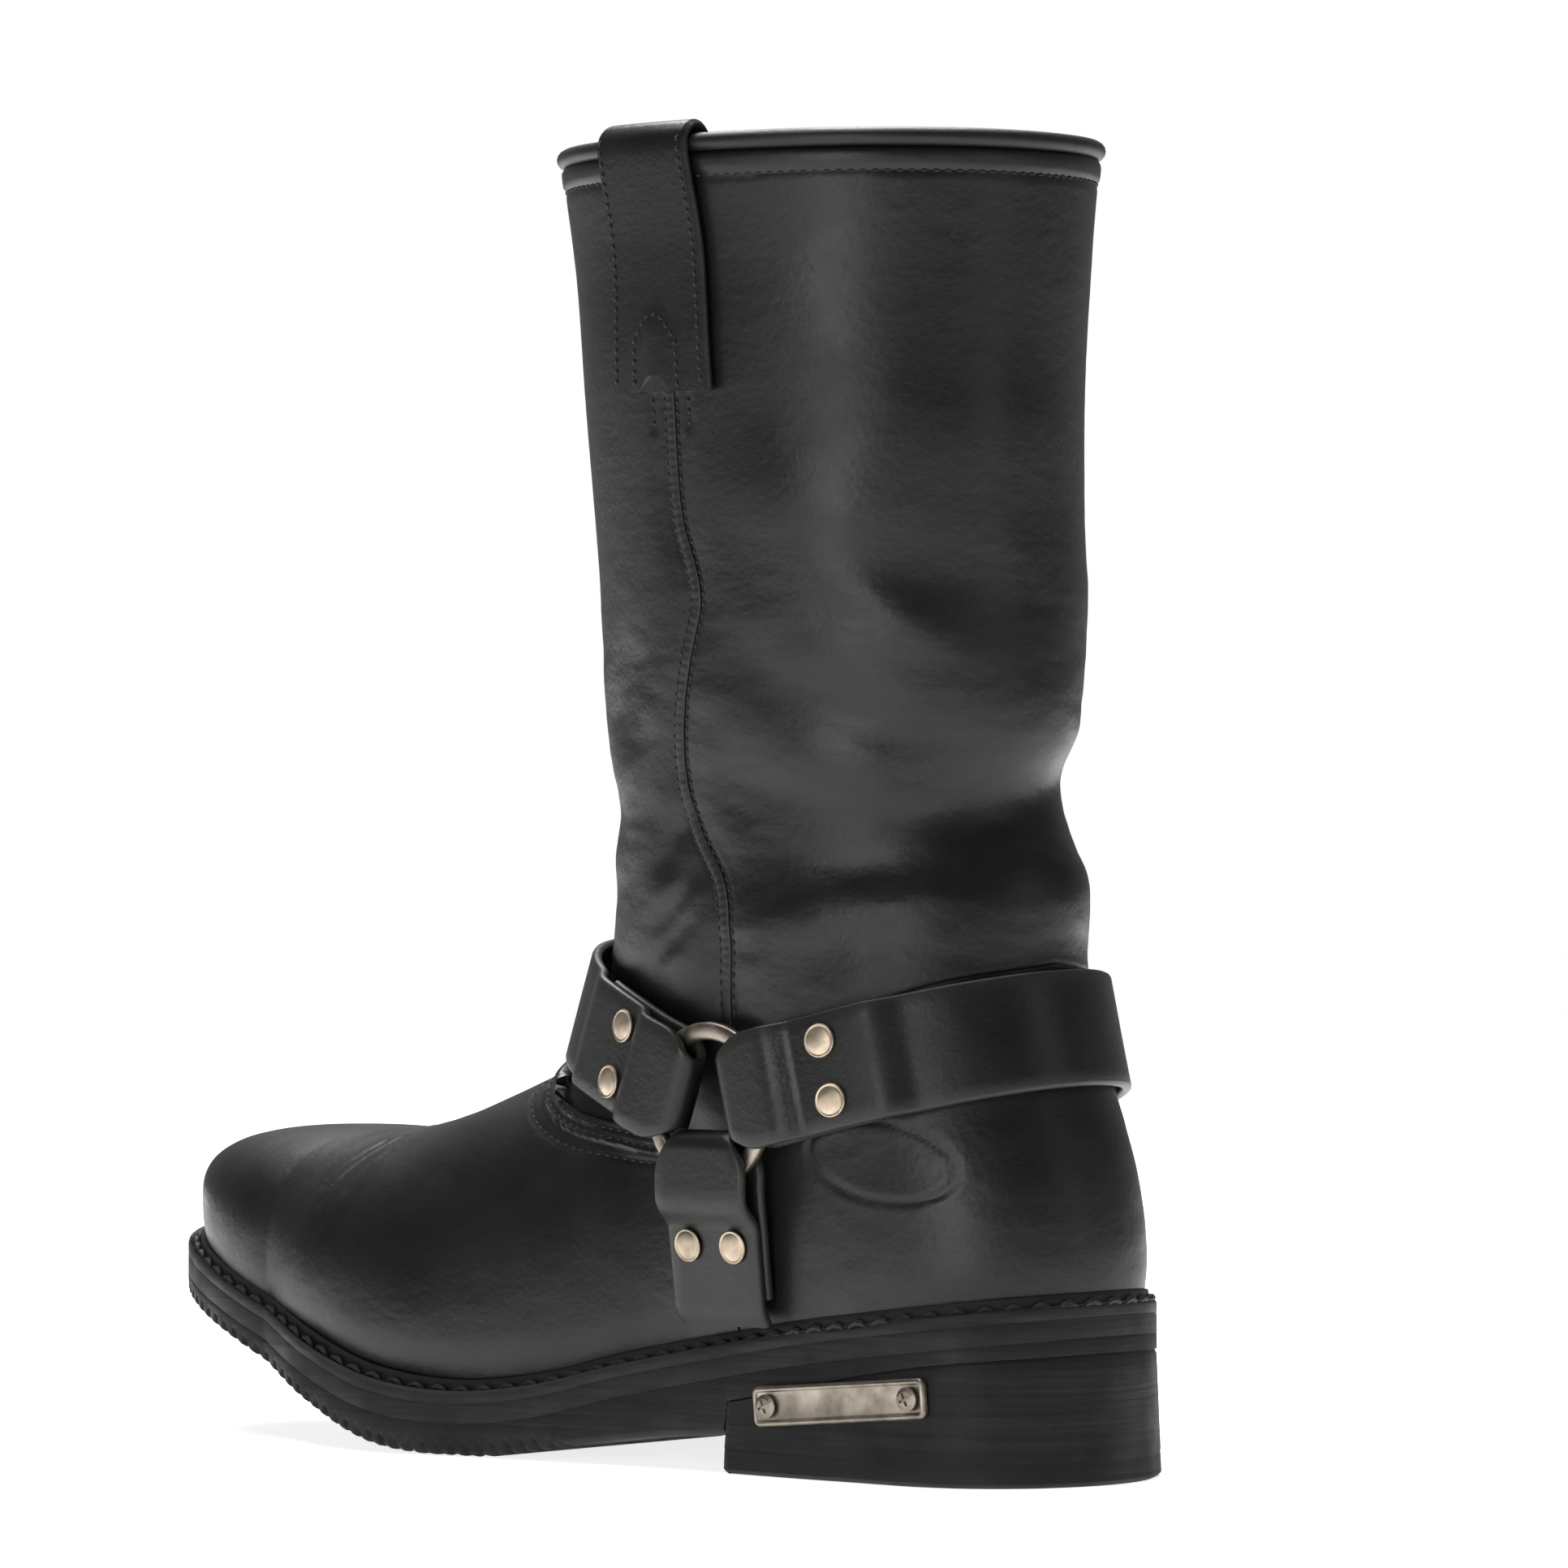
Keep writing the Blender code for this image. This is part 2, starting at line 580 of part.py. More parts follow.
def sole_sides(x):
    """The medial and lateral edge of the sole at one place."""
    share = sole_end(x)
    lateral = float(SOLE_LATERAL(x / LONG)) * WIDE
    medial = float(SOLE_MEDIAL(x / LONG)) * WIDE
    centre = (lateral + medial) / 2
    return centre + (medial - centre) * share, centre + (lateral - centre) * share


def sole_shape(x, y, z):
    """Below zero inside the sole's outline."""
    edges = np.array([sole_sides(min(max(at, 0), OUTSOLE_LENGTH)) for at in x])
    outside = np.maximum(edges[:, 0] - y, y - edges[:, 1])
    return np.maximum(outside, np.maximum(-x, x - OUTSOLE_LENGTH))


def end_spacing(low, high, count, round_low=True, round_high=True):
    """Places from low to high, closer together towards a rounded end."""
    share = np.linspace(0, 1, count)
    if round_low and round_high:
        share = (1 - np.cos(share * math.pi)) / 2
    elif round_low:
        share = 1 - np.cos(share * math.pi / 2)
    elif round_high:
        share = np.sin(share * math.pi / 2)
    return low + share * (high - low)


def planks(places, bottom, top, roll=(0.0, 0.0)):
    """Cross-sections of a sole layer, the lower edges rolled up by a width and a height."""
    rings = []
    wide, tall = roll
    for x in places:
        medial, lateral = sole_sides(x)
        low = bottom(x)
        high = top(x)
        under = [(x, medial, low), (x, lateral, low)]
        if wide:
            under = [(x, medial, low + tall), (x, medial + wide, low),
                     (x, lateral - wide, low), (x, lateral, low + tall)]
        rings.append(under + [(x, lateral, high), (x, medial, high)])
    return rings


def under_welt(depth):
    return lambda x: float(WELT_TOP(x / LONG)) * TALL - depth


def heel_seat(x):
    return float(HEEL_SEAT(x / LONG)) * TALL


def outsole_under(x):
    return max(0.0, float(SOLE_UNDER(x / LONG))) * TALL


def build_outsole():
    """Full length: thin over the heel, and cut across by grooves that leave lugs under the forefoot."""
    slight = (0.0004, 0.0004)
    rings = planks(end_spacing(0, HEEL_BREAST, 14, round_high=False), heel_seat, under_welt(OUTSOLE_TOP), slight)
    places = [(x, 0) for x in np.linspace(HEEL_BREAST + GAP, WAIST_END - 0.006 * LONG, 5)]
    x = WAIST_END
    while x < OUTSOLE_LENGTH - 0.012 * LONG:
        places += [(x, 0), (x + LUG_DRAFT, LUG_DEPTH), (x + LUG_GROOVE - LUG_DRAFT, LUG_DEPTH), (x + LUG_GROOVE, 0)]
        x += LUG_PITCH
    after = x - LUG_PITCH + 2 * LUG_GROOVE
    places += [(x, 0) for x in end_spacing(after, OUTSOLE_LENGTH, 5, round_low=False)]
    for x, raised in places:
        roll = (SOLE_ROLL[0] * sole_end(x), SOLE_ROLL[1])
        rings += planks([x], lambda at: outsole_under(at) + raised, under_welt(OUTSOLE_TOP), roll)
    return add("outsole", loft(rings), RUBBER, BOOT)


def build_sole():
    places = end_spacing(0, OUTSOLE_LENGTH, 32)
    layer = planks(places, under_welt(MIDSOLE_TOP + MIDSOLE_THICK), under_welt(MIDSOLE_TOP))
    add("midsole", loft(layer), RUBBER, BOOT)
    outsole = build_outsole()
    places = end_spacing(0, HEEL_BREAST, 14, round_high=False)
    block = add("heel_block", loft(planks(places, lambda x: TOP_LIFT + GAP, lambda x: heel_seat(x) - GAP)), RUBBER, BOOT)
    add("heel_top_lift", loft(planks(places, lambda x: 0, lambda x: TOP_LIFT)), RUBBER, BOOT)
    return outsole, block


def build_welt(inner):
    """The strip round the upper, with a ridge against the leather and a channel for the stitches."""
    out = normals(inner) * [1, 1, 0]
    out /= np.linalg.norm(out, axis=1)[:, None]
    above = inner - 0.004 * out + [0, 0, FEATHER_DROP + WELT_RIDGE]  # the ridge's own level, a little inside
    inner = shoot(above, out, 0.03)
    edge = shoot(inner, out, 0.03, sole_shape)
    rings = []
    threads = []
    for point, away, rim in zip(inner, out, edge):
        width = np.linalg.norm((rim - point)[:2])
        squeeze = min(1, (width - WELT_CLEAR) / (WELT_CHANNEL[1] - WELT_CLEAR + WELT_LIP))
        near, far = (WELT_CLEAR + (distance - WELT_CLEAR) * squeeze for distance in WELT_CHANNEL)

        def corner(distance, up):
            x, y = (point + away * distance)[:2]
            return np.array([x, y, float(WELT_TOP(x / LONG)) * TALL + up])

        rings.append([corner(WELT_CLEAR, -WELT_THICK), corner(width, -WELT_THICK), corner(width, 0),
                      corner(far, 0), corner(far, -CHANNEL_DEPTH), corner(near, -CHANNEL_DEPTH),
                      corner(near, WELT_RIDGE), corner(WELT_CLEAR, WELT_RIDGE)])
        radius = THREAD_RADIUS * squeeze
        centre = corner((near + far) / 2, GAP + radius - CHANNEL_DEPTH)
        turns = np.arange(6) * math.pi / 3
        threads.append([centre + radius * (math.cos(turn) * away + math.sin(turn) * UPWARD) for turn in turns])
    add("welt", loft(rings, closed=True), RUBBER, BOOT)
    add("welt_thread", loft(threads, closed=True), THREAD, BOOT)


def inside_slab(low, high, inset, start=None, count=24):
    """Cross-sections of a layer inside the upper, between two depths under the welt's top.

    It keeps an inset from the pattern surface all round, and starts at the heel unless start says where.
    """
    waist = 0.15 * LONG
    seat = np.array([[waist, foot_centre(waist), WELT_TOP(end) * TALL] for end in (0.010, 0.290)])
    back, front = shoot(seat, np.array([[-1.0, 0.0, 0.0], [1.0, 0.0, 0.0]]))[:, 0]
    middle = (back + front) / 2
    stretch = (front - back) / (front - back - 2 * inset)
    if start is None:
        places = end_spacing(back + inset, front - inset, count)
    else:
        places = end_spacing(start, front - inset, count, round_low=False)
    rings = []
    for x in places:
        z = float(WELT_TOP(x / LONG)) * TALL
        wider = np.clip(middle + (x - middle) * stretch, back + 0.0006, front - 0.0006)
        hub = np.array([[wider, foot_centre(wider), z]] * 2)
        sides = shoot(hub, np.array([[0.0, -1.0, 0.0], [0.0, 1.0, 0.0]]))[:, 1]
        centre = sides.mean()
        half = max((sides[1] - sides[0]) / 2 - inset, 0.003)
        rings.append([(x, centre - half, z - low), (x, centre + half, z - low),
                      (x, centre + half, z - high), (x, centre - half, z - high)])
    return rings


def build_inside():
    """From the midsole up: cork and shank, the board, and the sock."""
    wall = FOOT_LINING_DEPTH + LINING + 0.0014
    base = MIDSOLE_TOP - GAP
    board = base - FILLER_THICK - GAP
    sock = board - BOARD_THICK - GAP
    filler = inside_slab(base, base - FILLER_THICK, 0.012, start=SHANK_END + 0.003, count=14)
    add("cork_filler", loft(filler), CORK, BOOT)
    rings = []
    for x in np.linspace(0.040 * LONG, SHANK_END, 14):
        z = float(WELT_TOP(x / LONG)) * TALL - base + GAP
        centre = float(foot_centre(x))
        rings.append([(x, centre - SHANK_WIDTH / 2, z), (x, centre + SHANK_WIDTH / 2, z),
                      (x, centre + SHANK_WIDTH / 2, z + SHANK_THICK), (x, centre - SHANK_WIDTH / 2, z + SHANK_THICK)])
    add("shank", loft(rings), STEEL, BOOT)
    add("insole_board", loft(inside_slab(board, board - BOARD_THICK, wall + 0.0008)), BOARD, BOOT)
    add("sock_liner", loft(inside_slab(sock, sock - SOCK_THICK, wall)), LINING_LEATHER, BOOT)


# The harness


def ring_mesh():
    """A flattened ring about y, its edges eased."""
    section = []
    for turn in np.arange(6) * math.pi / 3 + math.pi / 6:
        section.append((math.cos(turn) * RING_WIRE_WIDE / 2,
                        math.sin(turn) * RING_WIRE_THICK / 2))
    centre = (RING_DIAMETER - RING_WIRE_WIDE) / 2
    rings = []
    for a in np.arange(30) * math.pi / 15:
        rings.append([((centre + out) * math.cos(a), up, (centre + out) * math.sin(a)) for out, up in section])
    return loft(rings, closed=True)


def smoothed(line, rounds, count):
    """The line with its corners eased, at evenly spaced points."""
    line = even(line, 4 * count)
    for _ in range(rounds):
        line[1:-1] = (line[:-2] + 2 * line[1:-1] + line[2:]) / 4
    return even(line, count)


def outline_2d(points, centre):
    """The convex outline of the points, in order of their direction from a centre."""
    hull = []
    for point in sorted(map(tuple, points), key=lambda p: math.atan2(p[1] - centre[1], p[0] - centre[0])):
        while len(hull) > 1:
            a, b = hull[-2], hull[-1]
            if (b[0] - a[0]) * (point[1] - a[1]) - (b[1] - a[1]) * (point[0] - a[0]) > 0:
                break
            hull.pop()
        hull.append(point)
    return np.array(hull)


def offset_2d(line, away):
    """The line moved to its outer side, with each stretch parallel to the old one, and which way out is."""
    along = np.diff(line, axis=0)
    along /= np.linalg.norm(along, axis=1)[:, None]
    out = np.stack([along[:, 1], -along[:, 0]], axis=1)
    before = np.concatenate([out[:1], out])
    after = np.concatenate([out, out[-1:]])
    mitre = (before + after) / (1 + (before * after).sum(axis=1))[:, None]
    return line + mitre * np.broadcast_to(away, len(line))[:, None], mitre


def ease(x, low, high):
    """Zero below low, one above high, smooth between."""
    s = np.clip((x - low) / (high - low), 0, 1)
    return s * s * (3 - 2 * s)


SINGLE = STRAP_THICK / 2
DOUBLE = 1.5 * STRAP_THICK + GAP
OVER_RING = SINGLE + 2 * FOLD_RADIUS


def layer_height(along):
    """How far the strap's middle stands off the boot, by distance from the fold."""
    past_ring = RING_REACH - FOLD_START
    down = ease(along, past_ring, past_ring + 0.0075)
    off_tail = ease(along, TAIL_LENGTH + 0.001, TAIL_LENGTH + 0.010)
    return OVER_RING + (DOUBLE - OVER_RING) * down + (SINGLE - DOUBLE) * off_tail


def over_laps(points):
    """How far the leather under each point stands proud of the pattern surface."""
    seam = SIDE_SEAM(points[:, 2] / TALL) * LONG
    turn = np.degrees(np.arctan2(np.abs(points[:, 1]), points[:, 0] - seam))
    edge = np.array([joint_height(angle) for angle in turn]) + 0.002
    return np.where(points[:, 2] < edge, LAP_PROUD, 0)


def on_top(line, heights, distance):
    """The place on a strap's outer face at a distance along its line, and which way that faces."""
    top, facing = offset_2d(line, heights + SINGLE)
    at = distance / np.linalg.norm(line[1] - line[0])
    i = int(at)
    share = at - i
    return top[i] * (1 - share) + top[i + 1] * share, facing[i] * (1 - share) + facing[i + 1] * share


def fold_arc(centre, start, stop, count=6):
    turns = np.linspace(start, stop, count)[1:-1]
    return np.array([[centre[0] + FOLD_RADIUS * math.cos(t), centre[1] + FOLD_RADIUS * math.sin(t)] for t in turns])


def ribbon(centreline, half_width, place):
    """Sections of a strap along a flat path; place turns (along, out, across) into the boot's frame."""
    outer, _ = offset_2d(centreline, STRAP_THICK / 2)
    inner, _ = offset_2d(centreline, -STRAP_THICK / 2)
    rings = []
    for far, near, half in zip(outer, inner, half_width):
        rings.append([place(*near, -half), place(*near, half), place(*far, half), place(*far, -half)])
    return rings


def fold_width(distance):
    """Half the strap's width: it narrows towards the ring's centre, to share the ring with the other two."""
    return np.clip(distance, 0.006, STRAP_WIDTH / 2)


def strap_round(forward, rise, rivet_along, kind):
    """A strap from ring to ring round the boot: its sections, and the places of its rivets.

    It lies flat in a plane through both rings' centres that rises away from them. It clears the boot over its
    whole width and swing.
    """
    e = np.array([forward * math.cos(rise), 0, math.sin(rise)])
    up = np.array([-forward * math.sin(rise), 0, math.cos(rise)])
    hub = np.array([RING_X, 0, RING_Z])
    surface = [(FOLD_START, side * (RING_Y - FOLD_RADIUS - SINGLE)) for side in (-1, 1)]
    surface += [(RING_REACH, side * (RING_Y - FOLD_RADIUS - SINGLE)) for side in (-1, 1)]
    for lift in np.linspace(0, STRAP_SWING, 3):
        turned_e = math.cos(lift) * e + math.sin(lift) * up
        turned_up = math.cos(lift) * up - math.sin(lift) * e
        for across in np.linspace(-STRAP_WIDTH / 2, STRAP_WIDTH / 2, 7):
            start = hub + turned_up * across
            angles = np.radians(np.linspace(-66, 66, 45))
            heading = np.cos(angles)[:, None] * turned_e + np.sin(angles)[:, None] * np.array([0, 1, 0])
            hit = shoot(np.tile(start, (len(angles), 1)), heading)
            hit += normals(hit) * (over_laps(hit) + STRAP_CLEAR)[:, None]
            ahead = (hit - start) @ turned_e
            surface += [(x, y) for x, y in zip(ahead, hit[:, 1]) if x > FOLD_START]
    line = smoothed(outline_2d(surface, (FOLD_START, 0)), 7, 31)
    step = np.linalg.norm(line[1] - line[0])
    along = np.arange(len(line)) * step
    from_end = np.minimum(along, along[::-1])
    heights = layer_height(from_end)
    outer, _ = offset_2d(line, heights)
    inner, _ = offset_2d(line, SINGLE)
    tail = round(TAIL_LENGTH / step)
    arcs = [fold_arc((FOLD_START, -RING_Y), math.pi / 2, 3 * math.pi / 2),
            fold_arc((FOLD_START, RING_Y), math.pi / 2, 3 * math.pi / 2)]
    centreline = np.concatenate([inner[tail::-1], arcs[0], outer, arcs[1], inner[:-tail - 2:-1]])
    half = fold_width(centreline[:, 0])

    def place(ahead, side_way, across):
        return hub + e * ahead + up * across + np.array([0, side_way, 0])

    rivets = []
    for name, distance in (("medial", rivet_along), ("lateral", along[-1] - rivet_along)):
        point, away = on_top(line, heights, distance)
        axis = e * away[0] + np.array([0, away[1], 0])
        for shift, level in ((0.5, "upper"), (-0.5, "lower")):
            rivets.append((f"rivet_{kind}_{name}_{level}", place(*point, shift * RIVET_SPACING), axis, up))
    return ribbon(centreline, half, place), rivets


def strap_down(side, kind):
    """A strap from one ring down to the welt, and the places of its rivets."""
    hub = np.array([RING_X, 0, RING_Z])
    rear = RING_X - STRAP_WIDTH / 2
    foot = RING_Z - (float(WELT_TOP(rear / LONG)) * TALL + WELT_RIDGE + 2 * GAP)
    wall = []
    downs = np.linspace(FOLD_START, foot, 40)
    for down in downs:
        start = np.array([[RING_X + shift, 0, RING_Z - down] for shift in np.linspace(-0.5, 0.5, 7) * STRAP_WIDTH])
        hit = shoot(start, np.tile([0.0, side, 0.0], (len(start), 1)))
        hit += normals(hit) * (LAP_PROUD + 2 * GAP)
        under_ring = RING_Y - FOLD_RADIUS - SINGLE if down < RING_REACH else 0
        wall.append(max(np.abs(hit[:, 1]).max(), under_ring))
    # Along this line the first coordinate is the distance out and the second the distance down.
    line = smoothed(outline_2d(np.stack([wall, downs], axis=1), (0, foot / 2)), 4, 18)
    step = np.linalg.norm(line[1] - line[0])
    heights = layer_height(np.arange(len(line)) * step)
    outer, _ = offset_2d(line, heights)
    inner, _ = offset_2d(line, SINGLE)
    tail = round(TAIL_LENGTH / step)
    arc = fold_arc((RING_Y, FOLD_START), -math.pi, 0)
    centreline = np.concatenate([inner[tail::-1], arc, outer])
    half = fold_width(centreline[:, 1])

    def place(out_way, down, across):
        return hub + np.array([across, side * out_way, -down])

    point, away = on_top(line, heights, RIVET_DOWN)
    axis = np.array([0, side * away[0], -away[1]])
    rivets = [(f"rivet_{kind}_{name}", place(*point, shift * RIVET_SPACING), axis, np.array([1.0, 0, 0]))
              for shift, name in ((0.5, "front"), (-0.5, "rear"))]
    return ribbon(centreline, half, place), rivets


def facing_matrix(point, axis, across):
    """A placement whose z runs along axis."""
    z = Vector(axis).normalized()
    x = (Vector(across) - z * z.dot(Vector(across))).normalized()
    y = z.cross(x)
    return Matrix.Translation(Vector(point)) @ Matrix((x, y, z)).transposed().to_4x4()


RIVET_DEPTH = 2 * STRAP_THICK + GAP


def rivet_profile():
    """A domed cap over the strap, a post through both layers and a peened end in the lower one."""
    flange_top = RIVET_FLANGE_THICK - RIVET_DEPTH
    return [(0, -RIVET_DEPTH), (RIVET_FLANGE, -RIVET_DEPTH), (RIVET_FLANGE, flange_top), (RIVET_POST, flange_top),
            (RIVET_POST, GAP), (RIVET_CAP, GAP), (RIVET_CAP, GAP + 0.0006), (0.65 * RIVET_CAP, GAP + 0.0016),
            (0, GAP + 0.0020)]


def rivet_hole_profile():
    flange = RIVET_FLANGE + HOLE_CLEAR
    flange_top = RIVET_FLANGE_THICK - RIVET_DEPTH + HOLE_CLEAR
    low = -RIVET_DEPTH - HOLE_CLEAR
    post = RIVET_POST + HOLE_CLEAR
    return [(0, low), (flange, low), (flange, flange_top), (post, flange_top), (post, 0.002), (0, 0.002)]


def build_rivets(strap, rivets, parent):
    for name, point, axis, across in rivets:
        matrix = facing_matrix(point, axis, across)
        rivet = add(name, turned(rivet_profile(), 12), NICKEL, BOOT)
        stand(rivet, matrix, parent)
        hole = add(name + "_hole", turned(rivet_hole_profile(), 10), STRAP, BOOT)
        stand(hole, matrix, parent)
        cut(strap, hole)


def build_harness():
    hub = (RING_X, 0, RING_Z)
    for name, forward, rise, rivet_along in (("front", 1, FRONT_STRAP_RISE, RIVET_FRONT),
                                             ("back", -1, BACK_STRAP_RISE, RIVET_BACK)):
        hinge = empty(f"{name}_strap_swing", hub, BOOT)
        rings, rivets = strap_round(forward, rise, rivet_along, name)
        strap = add(f"strap_{name}", loft(rings), STRAP, hinge, origin=hub)
        build_rivets(strap, rivets, hinge)
    for name, side in (("lateral", 1), ("medial", -1)):
        rings, rivets = strap_down(side, f"lower_{name}")
        strap = add(f"strap_lower_{name}", loft(rings), STRAP, BOOT)
        build_rivets(strap, rivets, BOOT)
        ring = add(f"ring_{name}", ring_mesh(), NICKEL, BOOT, crease=50)
        ring.location = (RING_X, side * RING_Y, RING_Z)


# The heel's hardware


def bar(mesh):
    """One arm of a screw's cross recess."""
    bmesh.ops.create_cube(mesh, size=1)
    bmesh.ops.scale(mesh, verts=mesh.verts, vec=(0.0034, 0.0007, 0.0016))
    bmesh.ops.translate(mesh, verts=mesh.verts, vec=(0, 0, GAP + 0.0014))


def plate(mesh):
    """The badge: a box from z = 0 up, with its outer rim bevelled."""
    bmesh.ops.create_cube(mesh, size=1)
    bmesh.ops.scale(mesh, verts=mesh.verts, vec=(BADGE_LENGTH, BADGE_HEIGHT, BADGE_THICK))
    bmesh.ops.translate(mesh, verts=mesh.verts, vec=(0, 0, BADGE_THICK / 2))
    rim = [edge for edge in mesh.edges if min(corner.co.z for corner in edge.verts) > BADGE_THICK / 2]
    bmesh.ops.bevel(mesh, geom=rim, offset=0.0004, segments=1, affect="EDGES")


def build_badge(block):
    """A blank metal plate on the outer face of the heel, held by two cross-recess screws."""
    shifts = np.linspace(-BADGE_LENGTH / 2, BADGE_LENGTH / 2, 9)
    wall = np.array([sole_sides(BADGE_X + shift)[1] for shift in shifts])
    slant = math.atan2(wall[-1] - wall[0], BADGE_LENGTH)
    along = Vector((math.cos(slant), math.sin(slant), 0))
    out = Vector((-math.sin(slant), math.cos(slant), 0))
    centre = Vector((BADGE_X, (wall - shifts * math.tan(slant)).max() + GAP, BADGE_Z))
    face = facing_matrix(centre, out, along) @ Matrix.Rotation(BADGE_TILT, 4, "Z")
    badge = add("heel_badge", plate, NICKEL, BOOT)
    stand(badge, face, BOOT)
    shape = [(0, -SCREW_LENGTH), (SCREW_SHANK, -SCREW_LENGTH), (SCREW_SHANK, GAP), (SCREW_HEAD, GAP),
             (SCREW_HEAD, GAP + 0.0005), (0.65 * SCREW_HEAD, GAP + 0.0011), (0, GAP + 0.0013)]
    wider = SCREW_SHANK + HOLE_CLEAR
    drilled = [(0, -SCREW_LENGTH - GAP), (wider, -SCREW_LENGTH - GAP), (wider, 0.003), (0, 0.003)]
    for name, shift in (("front", 1), ("rear", -1)):
        place = face @ Matrix.Translation((shift * (BADGE_LENGTH / 2 - 0.0045), 0, BADGE_THICK))
        screw = add(f"badge_screw_{name}", turned(shape, 16), NICKEL, BOOT)
        stand(screw, place, BOOT)
        for turn in (20, 110):
            recess = add(f"badge_screw_{name}_recess_{turn}", bar, NICKEL, BOOT)
            stand(recess, place @ Matrix.Rotation(math.radians(turn), 4, "Z"), BOOT)
            cut(screw, recess)
        hole = add(f"badge_screw_{name}_hole", turned(drilled, 12), NICKEL, BOOT)
        stand(hole, place, BOOT)
        cut(badge, hole)
        cut(block, hole)


def build_nails(outsole, block):
    """Nails from inside the shoe, through the heel seat and into the block."""
    shape = [(0, -NAIL_LENGTH), (NAIL_SHANK, -NAIL_LENGTH), (NAIL_SHANK, -NAIL_HEAD_THICK),
             (NAIL_HEAD, -NAIL_HEAD_THICK), (NAIL_HEAD, 0), (0, 0)]
    low = -NAIL_LENGTH - HOLE_CLEAR
    seat = -NAIL_HEAD_THICK - HOLE_CLEAR
    drilled = [(0, low), (NAIL_SHANK + HOLE_CLEAR, low), (NAIL_SHANK + HOLE_CLEAR, seat),
               (NAIL_HEAD + HOLE_CLEAR, seat), (NAIL_HEAD + HOLE_CLEAR, 0.006), (0, 0.006)]
    places = ((0.020, 0.0), (0.042, 0.020), (0.042, -0.020), (0.070, 0.0))
    for number, (x, y) in enumerate(places, 1):
        matrix = Matrix.Translation((x * LONG, y * WIDE, under_welt(OUTSOLE_TOP)(x * LONG) - 0.0012))
        nail = add(f"heel_nail_{number}", turned(shape, 12), STEEL, BOOT)
        stand(nail, matrix, BOOT)
        hole = add(f"heel_nail_{number}_hole", turned(drilled, 12), STEEL, BOOT)
        stand(hole, matrix, BOOT)
        cut(outsole, hole)
        cut(block, hole)


build_welt(build_upper())
build_piping()
for side_name, side_sign in (("lateral", 1), ("medial", -1)):
    build_seam_strip(f"seam_strip_{side_name}", side_sign)
    build_pull_strap(f"pull_strap_{side_name}", side_sign)
outsole_made, block_made = build_sole()
build_inside()
build_harness()
build_badge(block_made)
build_nails(outsole_made, block_made)
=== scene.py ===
"""The finished look of a pull-on leather harness boot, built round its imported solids.

Shapes are worked out in the boot's own pattern space: x runs from the back of the heel to the toe, y to the
outer (lateral) side and z up from the floor. publish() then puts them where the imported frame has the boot.
"""

import math

import bmesh
import bpy
import numpy as np
from mathutils import Matrix, Vector, kdtree, noise


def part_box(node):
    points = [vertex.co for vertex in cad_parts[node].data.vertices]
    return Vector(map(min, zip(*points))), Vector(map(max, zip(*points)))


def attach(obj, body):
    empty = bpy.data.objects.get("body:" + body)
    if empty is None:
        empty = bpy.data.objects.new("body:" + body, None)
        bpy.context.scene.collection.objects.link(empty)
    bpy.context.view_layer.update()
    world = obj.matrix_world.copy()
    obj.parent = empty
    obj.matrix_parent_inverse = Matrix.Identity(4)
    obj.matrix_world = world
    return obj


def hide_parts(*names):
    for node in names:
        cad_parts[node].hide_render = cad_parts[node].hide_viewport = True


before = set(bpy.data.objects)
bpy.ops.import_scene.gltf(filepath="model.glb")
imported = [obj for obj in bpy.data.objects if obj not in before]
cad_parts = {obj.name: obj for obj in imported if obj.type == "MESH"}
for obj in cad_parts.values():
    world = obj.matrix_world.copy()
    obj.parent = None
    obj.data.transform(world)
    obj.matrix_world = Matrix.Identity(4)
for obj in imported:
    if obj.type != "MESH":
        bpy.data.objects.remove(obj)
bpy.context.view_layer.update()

# Sizes read from the frame, in metres
SOLE_LOW, SOLE_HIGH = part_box("outsole")
RING_LOW, RING_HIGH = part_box("ring_lateral")
LOWER_LOW, LOWER_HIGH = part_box("strap_lower_lateral")
RIM_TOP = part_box("rim_piping")[1].z
HEEL_BACK = SOLE_LOW.x

# The profiles below are drawn for the pattern size; these grade them to the frame's.
LONG = (SOLE_HIGH.x - SOLE_LOW.x) / 0.306
WIDE = (SOLE_HIGH.y - SOLE_LOW.y) / 0.10828
TALL = RIM_TOP / 0.32169

OUTSOLE_LENGTH = SOLE_HIGH.x - SOLE_LOW.x
PIPING_RADIUS = 0.0023
PIPING_SINK = 0.0012
PIPING_FLATTENED = 1.12
SEAM_STRIP_HALF = 0.00145
SEAM_STRIP_RISE = 0.00035
GAP = 0.0003
UNEVEN = 0.00012  # how far hand work strays
LEG_TOP = RIM_TOP - 2 * PIPING_RADIUS
LAP_PROUD = 0.0010
LEATHER_THICK = 0.0022
SHAFT_THICK = 0.0016
LAP_ROUNDING = 0.0006
LINING_DEPTH = 0.0029
FOOT_LINING_DEPTH = 0.0033
LINING_THICK = 0.0010

RING_RADIUS = (RING_HIGH.x - RING_LOW.x) / 2 + 0.0003
RING_X = (RING_HIGH.x + RING_LOW.x) / 2 - HEEL_BACK
RING_Y = (RING_HIGH.y + RING_LOW.y) / 2
RING_Z = (RING_HIGH.z + RING_LOW.z) / 2
RING_WIDE = 0.0044
RING_THICK = RING_HIGH.y - RING_LOW.y
RING_REACH = RING_RADIUS + 0.0018
RING_CORNER = 0.72  # one is an oval section, near zero a square one

